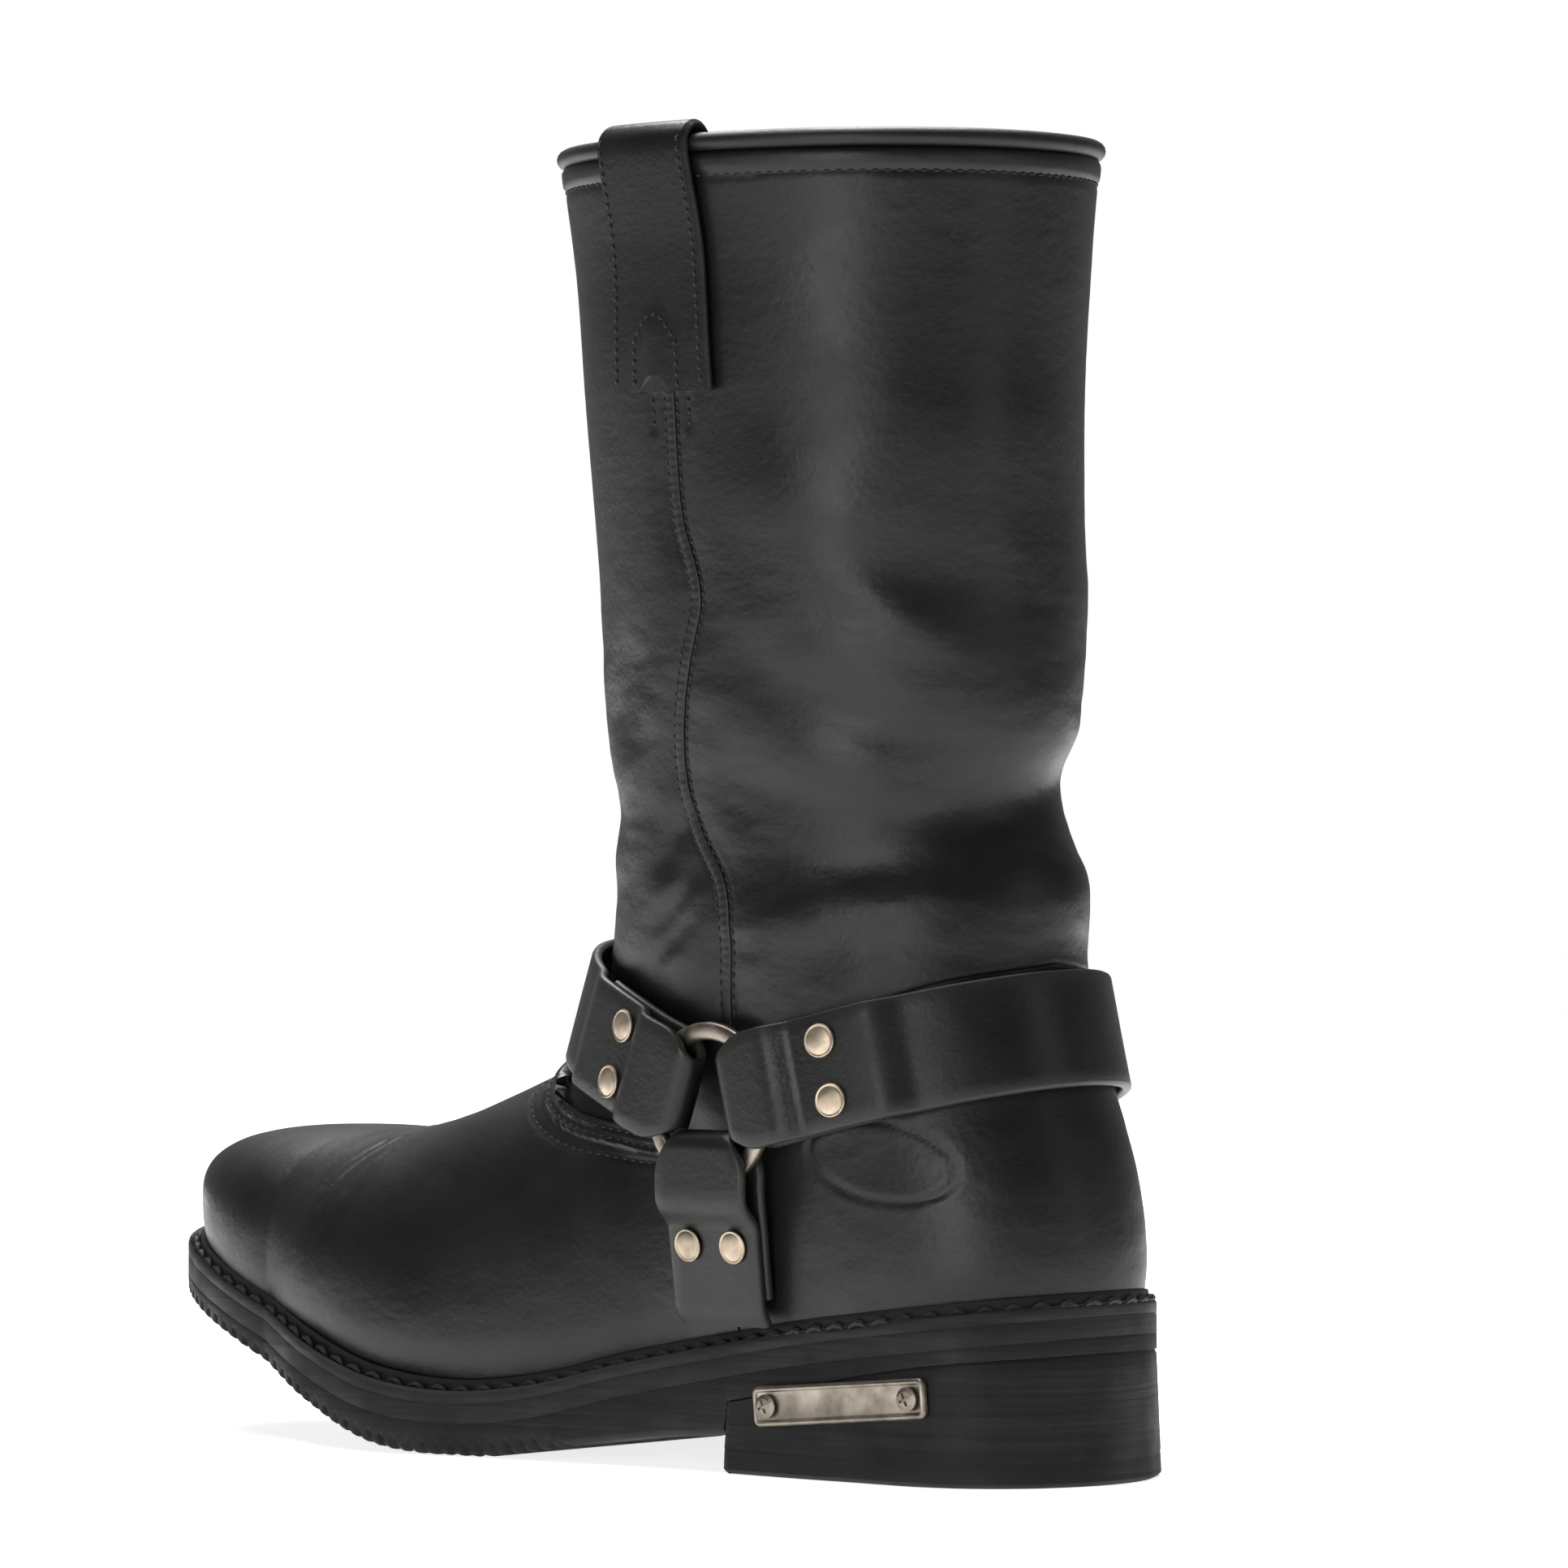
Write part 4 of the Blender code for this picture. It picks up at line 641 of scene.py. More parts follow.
def stitches(name, rows, pitch=STITCH, length=STITCH_LENGTH, radius=STITCH_RADIUS, replaces=()):
    """Separate stitches along rows; a row is dense (points, directions out of the surface)."""
    points = []
    faces = []
    for line, out in rows:
        gaps = np.linalg.norm(np.diff(line, axis=0), axis=1)
        length_at = np.concatenate([[0], np.cumsum(gaps)])

        def pick(values, at):
            return np.array([np.interp(at, length_at, values[:, i]) for i in range(3)])

        for centre in np.arange(pitch / 2, length_at[-1], pitch):
            first = len(points)
            for along, share, height in STITCH_SWELL:
                at = centre + along * length
                up = pick(out, at)
                across = np.cross(up, pick(line, at + STITCH_LOOK) - pick(line, at - STITCH_LOOK))
                across /= max(np.linalg.norm(across), 1e-9)
                middle = pick(line, at) + up * (radius * height)
                for turn in np.arange(STITCH_SIDES) * 2 * math.pi / STITCH_SIDES:
                    points.append(middle + radius * share * (math.cos(turn) * across + math.sin(turn) * up))
            faces += tube_faces(len(STITCH_SWELL), STITCH_SIDES, first=first)
    publish(name, points, faces, THREAD, replaces=replaces)


def crosswise(line):
    """Unit vectors along the surface and square to a line on it."""
    return unit(np.cross(normals(line), np.gradient(line, axis=0)))


def beside(line, distance, away_from):
    """A line on the surface beside another one, at a distance to the side that faces away from a point."""
    across = crosswise(line)
    middle = len(line) // 2
    if across[middle] @ (line[middle] - away_from) < 0:
        across = -across
    return settle(line + across * distance)


def raised(line, lift):
    """A row for stitches(): the line lifted off the surface, with the directions out of it."""
    out = normals(line)
    return line + out * lift(line)[:, None], out


# Grooves in the leather: depth and half width
STITCHED = (0.00040, 0.0007)
COUNTER_STITCHED = (0.00040, 0.0008)
RIM_STITCHED = (0.00045, 0.0008)
TAIL_STITCHED = (0.0005, 0.0010)
SEAM_STITCHED = (0.00035, 0.0007)
SEAM_DRAWN_IN = (0.0007, 0.0050)
BREAK_CREASE = (0.00045, 0.0011)
LIGHT_CREASE = (0.00025, 0.0012)
CREASE_SWELL = (0.0003, 0.0036)
OVAL_PRESSED = (0.00055, 0.0009)
OVAL_SWELL = (0.00020, 0.0030)


# The lines of the upper

THROAT_LINE = np.array([on_leg(joint_height(a), a)[0] for a in np.linspace(-90, 90, 241)])
COUNTER_LINE = np.array([on_leg(joint_height(a), a)[0] for a in np.linspace(90, 270, 241)])
INSIDE_LEG = np.array([0.09 * LONG, 0, 0.20 * TALL])
OUTER_ROW = 0.0077 + 0.0028 * np.exp(-(np.linspace(-90, 90, 241)[:, None] / 28) ** 2)
THROAT_ROWS = [beside(THROAT_LINE, distance, INSIDE_LEG) for distance in (0.0018, 0.0040, OUTER_ROW)]
COUNTER_ROWS = [beside(COUNTER_LINE, distance, INSIDE_LEG) for distance in (0.0018, 0.0044)]
COLLAR_STEP = 0.0056
RIM_STITCH_Z = LEG_TOP - 0.0058
SEAM_HALF = 0.0021
SEAM_FOOT = 0.0836 * TALL
SEAM_STITCH = {"pitch": 0.0026, "length": 0.0019}
PULL_STITCH = {"pitch": 0.0025, "length": 0.0018}


def seam_line(side, shift, low=SEAM_FOOT, high=PULL_STRAP_FOOT - 0.0006, count=420):
    z = np.linspace(low, high, count)
    start = np.stack([SIDE_SEAM(z / TALL) * LONG + shift, 0 * z, z], axis=1)
    return shoot(start, np.tile([0.0, side, 0.0], (count, 1)))


def level_line(z, count=600):
    """The leg's outline at one height."""
    start = np.tile([float(SIDE_SEAM(z / TALL)) * LONG, 0, z], (count, 1))
    turns = np.linspace(0, 2 * math.pi, count)
    return shoot(start, np.stack([np.cos(turns), np.sin(turns), 0 * turns], axis=1))


SEAM_ROWS = {side: [seam_line(side, shift) for shift in (-SEAM_HALF, SEAM_HALF)] for side in (1, -1)}
TAIL_SHIFT = 0.0062
TAIL_ROWS = {side: [seam_line(side, shift, PULL_STRAP_FOOT - 0.0085, PULL_STRAP_FOOT, 40)
                    for shift in (-TAIL_SHIFT, TAIL_SHIFT)] for side in (1, -1)}
RIM_ROW = level_line(RIM_STITCH_Z)

# Dents and bulges of the leg: degrees round from straight ahead, height, half sizes, how far out, and lean
LEG_SHAPES = (
    (172, 0.161, 24, 0.0100, -0.0032, 0.00020),
    (190, 0.144, 16, 0.0085, 0.0016, -0.00010),
    (136, 0.170, 26, 0.0075, 0.0013, -0.00042),
    (139, 0.184, 30, 0.0070, -0.0014, -0.00040),
    (142, 0.146, 24, 0.0065, -0.0015, 0.00010),
    (118, 0.134, 16, 0.0080, 0.0012, 0.00020),
    (160, 0.214, 24, 0.0110, -0.0012, -0.00035),
    (128, 0.232, 20, 0.0130, 0.0014, -0.00020),
    (165, 0.250, 26, 0.0150, 0.0010, 0.00010),
    (150, 0.205, 14, 0.0060, 0.0010, -0.00050),
    (76, 0.151, 12, 0.0042, -0.0013, 0.00055),
    (72, 0.139, 14, 0.0040, -0.0012, 0.00060),
    (66, 0.128, 13, 0.0036, -0.0010, 0.00050),
    (60, 0.190, 14, 0.0140, -0.0014, 0.00010),
    (55, 0.165, 18, 0.0080, 0.0012, 0.00010),
    (20, 0.158, 28, 0.0070, -0.0020, 0.00010),
    (0, 0.140, 30, 0.0060, -0.0014, 0.00000),
    (-40, 0.150, 24, 0.0065, -0.0018, -0.00020),
    (-75, 0.165, 20, 0.0080, 0.0012, 0.00020),
    (-110, 0.148, 26, 0.0070, -0.0020, -0.00020),
    (-150, 0.170, 26, 0.0085, -0.0022, 0.00020),
    (-130, 0.215, 30, 0.0120, 0.0014, 0.00020),
    (-60, 0.235, 26, 0.0140, -0.0012, -0.00020),
)


def leg_place(points):
    """Degrees round the leg and the height of each point."""
    seam = SIDE_SEAM(points[:, 2] / TALL) * LONG
    return np.degrees(np.arctan2(points[:, 1], points[:, 0] - seam)), points[:, 2]


def leg_shape(points):
    """How the worn leg slouches: dents and folds, stronger near the ankle, none at the rim."""
    turn, height = leg_place(points)
    total = 0.0009 * rough(points, (13, 13, 20), 1)
    for angle, middle, half_turn, half_height, depth, lean in LEG_SHAPES:
        aside = (turn - angle + 180) % 360 - 180
        above = height - middle * TALL - lean * aside
        total = total + depth * np.exp(-(aside / half_turn) ** 2 - (above / half_height) ** 2)
    slack = 1 - ease(height, 0.175 * TALL, 0.235 * TALL)
    total = total + slack * 0.00038 * rough(points, (50, 50, 120), 2)
    total = total + (0.35 + 0.65 * slack) * 0.00011 * rough(points, (130, 130, 300), 3)
    return total * (1 - 0.75 * ease(height, 0.285 * TALL, 0.312 * TALL))


def groove(points, lines, depth, width):
    """Below zero near the lines, by a depth that fades over a width."""
    apart = np.min([nearest(points, line) for line in lines], axis=0)
    return -depth * np.exp(-(apart / width) ** 2)


def shaft_lift(points):
    """The leg's leather, dipping under the vamp and the counter and drawn in along its seams."""
    turn, height = leg_place(points)
    edge = np.interp(np.abs(turn), EDGE_ANGLES, EDGE_HEIGHTS)
    tucked = ease(edge + 0.0004 - height, 0, 0.0016)
    total = leg_shape(points) * (1 - tucked) * (0.4 + 0.6 * ease(height - edge, 0, 0.010))
    seams = SEAM_ROWS[1] + SEAM_ROWS[-1]
    total = total + groove(points, seams, *SEAM_STITCHED) + groove(points, seams, *SEAM_DRAWN_IN)
    total = total + groove(points, [RIM_ROW], *RIM_STITCHED)
    total = total + groove(points, TAIL_ROWS[1] + TAIL_ROWS[-1], *TAIL_STITCHED)
    band = ease(height, RIM_STITCH_Z, RIM_STITCH_Z + 0.0014)
    crease = ease(height, LEG_TOP - 0.0014, LEG_TOP)
    return total + 0.0004 * band - 0.0009 * crease - 0.0014 * tucked


EDGE_ANGLES = np.linspace(0, 180, 181)
EDGE_HEIGHTS = np.array([joint_height(a) for a in EDGE_ANGLES])


def toe_crease(start, bend, end):
    """A crease across the toe's break, given by places along the boot and shares of the way up its side."""
    line = []
    steps = 40
    for x, share in spread(np.array([start, bend, end], float), 60):
        low = feather(x * LONG, 1)
        top = shoot(foot_hub(low[0])[None], UPWARD[None])[0]
        line.append(fan(low, top, steps + 1)[int(steps * share)])
    return settle(np.array(line))


TOE_CREASES = [toe_crease((0.2185, 0.70), (0.2215, 0.55), (0.2265, 0.36)),
               toe_crease((0.2225, 0.66), (0.2250, 0.54), (0.2285, 0.42)),
               toe_crease((0.2140, 0.62), (0.2165, 0.52), (0.2190, 0.43))]


BREAK_PLACE = 0.222  # where the toe bends, by place along the boot
BREAK_HALF = 0.012
BREAK_WAVES = 620


def vamp_lift(points):
    """The vamp, proud of the leg, with a second layer along its throat and creases at the toe's break."""
    from_edge = nearest(points, THROAT_LINE)
    total = LAP_PROUD + 0.0007 * (1 - ease(from_edge, COLLAR_STEP - 0.0003, COLLAR_STEP + 0.0004))
    total = total + 0.0006 * rough(points, (16, 16, 16), 5)
    total = total + 0.00007 * rough(points, (90, 150, 150), 6)
    total = total + groove(points, THROAT_ROWS, *STITCHED)
    total = total + groove(points, TOE_CREASES[:2], *BREAK_CREASE)
    total = total + groove(points, TOE_CREASES[2:], *LIGHT_CREASE)
    total = total - groove(points, TOE_CREASES[:1], *CREASE_SWELL)
    ahead = points[:, 0] / LONG
    waves = np.sin((ahead - 0.206) * BREAK_WAVES + 3.2 * (points[:, 2] / TALL - 0.06) * 60)
    at_break = np.exp(-((ahead - BREAK_PLACE) / BREAK_HALF) ** 2)
    return total + 0.00010 * waves * at_break * ease(points[:, 2], 0.045 * TALL, 0.062 * TALL)


OVAL_ANGLE = 141
OVAL_HEIGHT = 0.0765
OVAL_LONG = 0.0208  # half its length
OVAL_HIGH = 0.0092
OVAL_TILT = math.radians(-9)
OVAL_BEHIND = 0.06  # how far inside the boot the oval is drawn from


def counter_oval():
    """The blank oval pressed into the counter's outer side."""
    middle = on_leg(OVAL_HEIGHT * TALL, OVAL_ANGLE)[0]
    out = normals(middle[None])[0]
    sideways = np.cross(UPWARD, out)
    sideways /= np.linalg.norm(sideways)
    up = np.cross(out, sideways)
    turns = np.linspace(0, 2 * math.pi, 260)
    across = OVAL_LONG * np.cos(turns)
    rise = OVAL_HIGH * np.sin(turns)
    line = middle + np.outer(across * math.cos(OVAL_TILT) - rise * math.sin(OVAL_TILT), sideways)
    line = line + np.outer(across * math.sin(OVAL_TILT) + rise * math.cos(OVAL_TILT), up)
    inside = np.tile(middle - OVAL_BEHIND * out, (len(turns), 1))
    return shoot(inside, unit(line - inside))


OVAL = counter_oval()


def counter_lift(points):
    """The counter, proud of the leg, with its stitch rows and the blank oval."""
    total = LAP_PROUD + 0.0004 * rough(points, (15, 15, 15), 7)
    total = total + 0.00012 * rough(points, (120, 120, 160), 8)
    total = total + groove(points, COUNTER_ROWS, *COUNTER_STITCHED)
    return total + groove(points, [OVAL], *OVAL_PRESSED) - groove(points, [OVAL], *OVAL_SWELL)


SEAM_GAP = 0.24  # degrees between the side seam's middle and the edge of the vamp or the counter
THROAT_GAP = 0.0002
VAMP_ROWS = 15
THROAT_SPREAD = 1.3
SHAFT_TUCK = 0.0030  # how far the leg runs on under the vamp and the counter


def vamp_half(side):
    """One side of the vamp in lines from the welt up: first to the throat, then to the ridge of the toe."""
    lines = []
    end = 90 - SEAM_GAP
    rear, start = (on_leg(joint_height(angle) - THROAT_GAP, side * angle)[0][0] for angle in (end, 0))
    for share in np.linspace(0, 1, 19):
        angle = end * (1 - share)
        high = on_leg(joint_height(angle) - THROAT_GAP, side * angle)[0]
        low = feather(rear + (start - rear) * share ** THROAT_SPREAD, side, FEATHER_DROP)
        lines.append(fan(low, high, VAMP_ROWS))
    toe = (FOOT_TOE[0] + FOOT_TOE[1]) * LONG
    for share in np.linspace(0, 1, 27)[1:]:
        x = start + share * (RIDGE_END * LONG - start)
        high = shoot(foot_hub(x)[None], UPWARD[None])[0]
        lines.append(fan(feather(start + share * (toe - start), side, FEATHER_DROP), high, VAMP_ROWS))
    return relaxed(np.array(lines))


def counter_grid():
    """The counter in lines from the welt up, from side seam to side seam."""
    lines = []
    for angle in np.linspace(90 + SEAM_GAP, 270 - SEAM_GAP, 33):
        low = heel_feather(angle, FEATHER_DROP)[2]
        lines.append(even(on_leg(np.linspace(low, joint_height(angle), 40), angle), 13))
    return np.array(lines)


def shaft_grid(first, last):
    """Half of the leg in lines from the rim down, between two directions in degrees."""
    lines = []
    for angle in np.linspace(first, last, 29):
        heights = np.linspace(LEG_TOP, joint_height(angle) - SHAFT_TUCK, 60)
        lines.append(even(on_leg(heights, angle), 50))
    return np.array(lines)


def level(depth):
    """A lift that lies at one depth under the surface."""
    return lambda points: np.full(len(points), -depth)


def in_leg(points):
    """The leg's lining, which follows most of the slouch."""
    return 0.9 * leg_shape(points) - LINING_DEPTH


def build_upper():
    """The leather and the lining, and the line of the upper's lower edge."""
    vamp = [vamp_half(1), vamp_half(-1)]
    heel = counter_grid()
    front = shaft_grid(-89.8, 89.8)
    back = shaft_grid(90.2, 269.8)
    fine_vamp = [fine(half, 250, 92) for half in vamp]
    fine_heel = fine(heel, 180, 90)
    sheet("vamp_skin", "vamp", fine_vamp, vamp_lift, LEATHER_THICK, UPPER, LAP_ROUNDING)
    sheet("counter_skin", "counter", [fine_heel], counter_lift, LEATHER_THICK, UPPER, LAP_ROUNDING)
    for name, grid in (("shaft_front", front), ("shaft_back", back)):
        sheet(f"{name}_skin", name, [fine(grid, 160, 215)], shaft_lift, SHAFT_THICK, UPPER)
    inside = np.concatenate([front, back, front[:1]])
    in_foot = level(FOOT_LINING_DEPTH)
    for name, grids, lift in (("shaft_lining", [fine(inside, 120, 90)], in_leg),
                              ("vamp_lining", [fine(half, 90, 40) for half in vamp], in_foot),
                              ("heel_lining", [fine(heel, 80, 40)], in_foot)):
        sheet(f"{name}_skin", name, grids, lift, LINING_THICK, LINING)
    return np.concatenate([fine_vamp[0][:, 0], fine_vamp[1][-2::-1, 0], fine_heel[::-1, 0]])


def build_upper_stitches():
    """The rows along the throat, the counter, the rim and the side seams."""
    stitches("vamp_stitches", [raised(row, vamp_lift) for row in THROAT_ROWS])
    stitches("counter_stitches", [raised(row, counter_lift) for row in COUNTER_ROWS])
    stitches("rim_stitches", [raised(RIM_ROW, shaft_lift)])
    for name, side in (("lateral", 1), ("medial", -1)):
        rows = SEAM_ROWS[side] + TAIL_ROWS[side]
        stitches(f"seam_stitches_{name}", [raised(row, shaft_lift) for row in rows], **SEAM_STITCH)


def build_piping():
    """The rolled binding over the rim, a little uneven as hand-rolled leather is."""
    line = level_line(LEG_TOP, 241)[:-1]
    out = level_normals(line)
    base = line + out * (leg_shape(line) - PIPING_SINK)[:, None]
    swell = 1 + 0.05 * rough(line, (60, 60, 60), 11)
    sides = 16
    points = []
    for point, away, grow in zip(base, out, swell):
        wide = PIPING_RADIUS * grow * PIPING_FLATTENED
        for k in range(sides):
            turn = 2 * math.pi * k / sides
            rise = UPWARD * PIPING_RADIUS * (1 + math.sin(turn))
            points.append(point + away * wide * math.cos(turn) + rise)
    publish("rim_binding", points, tube_faces(len(base), sides, closed=True), EDGING, replaces=["rim_piping"])


def build_seam_strip(name, side):
    """The narrow raised strip between the side seam's two stitch rows."""
    line = seam_line(side, 0.0, SEAM_FOOT, PULL_STRAP_FOOT + 0.004, 300)
    out = normals(line)
    across = crosswise(line)
    base = line + out * shaft_lift(line)[:, None]
    profile = [(math.cos(t), math.sin(t)) for t in np.linspace(0, math.pi, 9)] + [(-0.8, -0.5), (0.8, -0.5)]
    points = []
    for i, point in enumerate(base):
        height = SEAM_STRIP_RISE * (1 + 0.20 * math.sin(i * 1.9))
        for sideways, up in profile:
            points.append(point + across[i] * sideways * SEAM_STRIP_HALF + out[i] * up * height)
    faces = tube_faces(len(base), len(profile))
    publish(f"seam_cord_{name}", points, faces, EDGING, replaces=[f"seam_strip_{name}"])


def build_pull_strap(name, side):
    """A strap sewn to the leg, over the rim and down inside, notched round the seam at its foot."""
    rim_z = RIM_TOP - PIPING_RADIUS
    wide = np.linspace(-1, 1, 31)
    rounding = np.sqrt(1 - np.clip((np.abs(wide) - 0.94) / 0.06, 0, 1) ** 2 * 0.92)
    fall = [(1, share) for share in np.linspace(0, 1, 34)]
    over = [(math.cos(t), 1 + math.sin(t)) for t in np.linspace(0, math.pi, 15)[1:-1]]
    inside = [(-1, share) for share in np.linspace(1, 0.22, 20)]
    path = fall + over + inside

    def place(away, share, sideways):
        """A point of the strap; share above one is the height over the rim in radii."""
        flare = 0.0008 + 0.0012 * (1 - min(share, 1)) ** 2
        shift = sideways * (STRAP_WIDTH / 2 + flare)
        notch = PULL_NOTCH * math.exp(-(shift / PULL_NOTCH) ** 4) if away > 0 else 0.0
        foot = PULL_STRAP_FOOT + notch
        height = foot + (rim_z - foot) * min(share, 1)
        level_z = min(height, LEG_TOP)
        ahead = float(SIDE_SEAM(level_z / TALL)) * LONG + shift + 0.0022 * ease(height, 0.29, 0.322)
        return np.array([ahead, 0, level_z]), height - level_z

    starts = []
    extras = []
    for away, share in path:
        for sideways in wide:
            start, extra = place(away, share, sideways)
            starts.append(start)
            extras.append(extra)
    wall = shoot(np.array(starts), np.tile([0.0, side, 0.0], (len(starts), 1)))
    out = level_normals(wall)
    shape = leg_shape(wall)
    rings = []
    rows = len(wide)
    for i, (away, share) in enumerate(path):
        near_side = []
        far_side = []
        for j in range(rows):
            n = i * rows + j
            base = wall[n] + out[n] * (shape[n] - PULL_WALL) + UPWARD * extras[n]
            half = PULL_STRAP_THICK / 2 * rounding[j]
            bulge = 0.0
            if away > 0:
                bulge = PULL_SEAM_BULGE * math.exp(-(wide[j] / 0.33) ** 2) * (1 - ease(share, 0.18, 0.34))
            middle = PULL_FOLD + PULL_STRAP_THICK / 2
            rise = share - 1 if share > 1 else 0.0
            for reach, into in ((middle - half, near_side), (middle + half + bulge, far_side)):
                into.append(base + out[n] * away * reach + UPWARD * rise * reach)
        rings.append(near_side + far_side[::-1])
    points = np.array(rings).reshape(-1, 3)
    # Painted highlight: the pull strap's rounded edge columns are coloured lighter.
    worn_and_highlit = np.tile(np.concatenate([rounding, rounding[::-1]]) < 0.75, len(path)) * 0.55
    publish(f"pull_loop_{name}", points, tube_faces(len(path), 2 * rows), STRAP, wear_and_highlight=worn_and_highlit,
            replaces=[f"pull_strap_{name}"])
    outer = np.array(rings)[:, rows:][:, ::-1]
    build_pull_stitches(name, side, outer[:36], wide)


def build_pull_stitches(name, side, face, wide):
    """Rows near both edges of the strap and an arch round the notch."""
    rows = []
    for place in (-0.84, 0.84):
        column = int(np.argmin(np.abs(wide - place)))
        line = even(face[1:, column], 260)
        rows.append((line, np.tile([0.0, side, 0.0], (len(line), 1))))
    half = TAIL_SHIFT / (STRAP_WIDTH / 2)
    arch = [(-half, share) for share in np.linspace(0.01, 0.19, 8)]
    arch += [(-half * math.cos(t), 0.19 + 0.075 * math.sin(t)) for t in np.linspace(0, math.pi, 12)[1:-1]]
    arch += [(half, share) for share in np.linspace(0.19, 0.01, 8)]
    line = []
    for sideways, share in arch:
        i = share * 33
        j = np.interp(sideways, wide, np.arange(len(wide)))
        low_i, low_j = int(i), int(j)
        corner = face[low_i, low_j] * (1 - i + low_i) + face[low_i + 1, low_j] * (i - low_i)
        other = face[low_i, low_j + 1] * (1 - i + low_i) + face[low_i + 1, low_j + 1] * (i - low_i)
        line.append(corner * (1 - j + low_j) + other * (j - low_j))
    line = even(np.array(line), 200)
    rows.append((line, np.tile([0.0, side, 0.0], (len(line), 1))))
    stitches(f"pull_stitches_{name}", rows, **PULL_STITCH)


# The sole


def sole_sides(x):
    """The medial and lateral edge of the sole at places along it."""
    drawn = x / LONG
    past_toe = (drawn - SOLE_TOE[0]) / SOLE_TOE[1]
    past_heel = (SOLE_HEEL[0] - drawn) / SOLE_HEEL[1]
    end = np.maximum(np.maximum(past_toe, past_heel), 0)
    share = np.sqrt(np.maximum(0, 1 - end * end))
    lateral = SOLE_LATERAL(drawn) * WIDE
    medial = SOLE_MEDIAL(drawn) * WIDE
    centre = (lateral + medial) / 2
    return centre + (medial - centre) * share, centre + (lateral - centre) * share


def sole_shape(x, y, _z):
    """Below zero inside the sole's outline, at any height."""
    medial, lateral = sole_sides(np.clip(x, 0, OUTSOLE_LENGTH))
    return np.maximum(np.maximum(medial - y, y - lateral), np.maximum(-x, x - OUTSOLE_LENGTH))


def sole_loop(places, inset):
    """The sole's outline, lateral side first and back along the medial one, moved in by inset(x)."""
    medial, lateral = sole_sides(places)
    there = np.stack([places, lateral], axis=1)
    back = np.stack([places, medial], axis=1)[::-1]
    line = np.concatenate([there, back])
    along = np.roll(line, -1, axis=0) - np.roll(line, 1, axis=0)
    out = unit(np.stack([-along[:, 1], along[:, 0]], axis=1))
    return line - out * inset(line[:, 0])[:, None]


def slab(name, places, levels, replaces, columns=2, under=None):
    """A layer of the sole. Its levels, from the bottom up, are (inset, height, wear), the first two of them
    functions of x; columns and under shape its underside."""
    count = len(places)
    rings = []
    worn_and_highlit = []
    for inset, height, wear_and_highlight in levels:
        line = sole_loop(places, inset)
        wobble = rough(np.column_stack([line, 0 * line[:, 0]]), (55, 55, 1), 21) * UNEVEN
        rings.append(np.column_stack([line, height(line[:, 0]) + wobble]))
        worn_and_highlit += [wear_and_highlight] * (2 * count)
    points = np.concatenate(rings)
    faces = []
    for k in range(len(levels) - 1):
        for i in range(2 * count):
            j = (i + 1) % (2 * count)
            low, high = 2 * count * k, 2 * count * (k + 1)
            faces.append((low + i, low + j, high + j, high + i))
    last = 2 * count * (len(levels) - 1)
    end = last + 2 * count - 1
    faces += [(last + i, last + i + 1, end - 1 - i, end - i) for i in range(count - 1)]
    first = rings[0]
    index = [list(range(count))]
    for share in np.linspace(0, 1, columns + 1)[1:-1]:
        row = first[:count] * (1 - share) + first[:count - 1:-1] * share
        if under is not None:
            row[:, 2] += under(row[:, 0], share)
        index.append(list(range(len(points), len(points) + count)))
        points = np.concatenate([points, row])
        worn_and_highlit += [0.0] * count
    index.append(list(range(2 * count - 1, count - 1, -1)))
    for one, other in zip(index[:-1], index[1:]):
        faces += [(one[i], other[i], other[i + 1], one[i + 1]) for i in range(count - 1)]
    publish(name, points, faces, RUBBER, wear_and_highlight=worn_and_highlit, crease=38, replaces=replaces)


def flat(amount):
    return lambda x: np.full(len(x), amount)


def under_welt(depth):
    return lambda x: welt_z(x) - depth


def heel_seat(x):
    return HEEL_SEAT(x / LONG) * TALL


MIDSOLE_TOP = WELT_THICK + GAP
OUTSOLE_TOP = MIDSOLE_TOP + MIDSOLE_THICK + GAP
WAIST_END = HEEL_BREAST + 0.048 * LONG
TOOTH_PITCH = 0.0041
TOOTH_DEPTH = 0.0024
LUG_PITCH = 0.0105
LUG_GROOVE = 0.0030
LUG_DEPTH = 0.0026
SOLE_ROLL = (0.0036, 0.0024)


def beyond_heel(x):
    return ease(x, HEEL_BREAST, HEEL_BREAST + 0.0012)


def sole_under(x):
    """The outsole's underside: over the heel block, then the waist and the forefoot with its teeth."""
    forefoot = np.maximum(SOLE_UNDER(x / LONG), 0) * TALL
    return heel_seat(x) + (forefoot - heel_seat(x)) * beyond_heel(x)


def teeth(x):
    """The serrated edge of the forefoot, by place along the boot."""
    near = ease(x, WAIST_END, WAIST_END + 0.012)
    end = np.clip((x / LONG - SOLE_TOE[0]) / SOLE_TOE[1], 0, 1)
    arc = np.where(end > 0, SOLE_TOE[0] * LONG + np.arcsin(end) * 0.056, x)
    return near * TOOTH_DEPTH * (0.5 + 0.5 * np.tanh(2.6 * np.sin(arc * 2 * math.pi / TOOTH_PITCH)))


def lugs(x, share):
    """Grooves across the forefoot's tread, chevroned towards the toe."""
    near = ease(x, WAIST_END, WAIST_END + 0.003) * (1 - ease(x, 0.292 * LONG, 0.296 * LONG))
    phase = ((x - WAIST_END + 0.010 * abs(share - 0.5)) / LUG_PITCH) % 1 * LUG_PITCH
    return near * LUG_DEPTH * (1 - ease(np.abs(phase - LUG_GROOVE / 2), 0.45 * LUG_GROOVE, 0.60 * LUG_GROOVE))


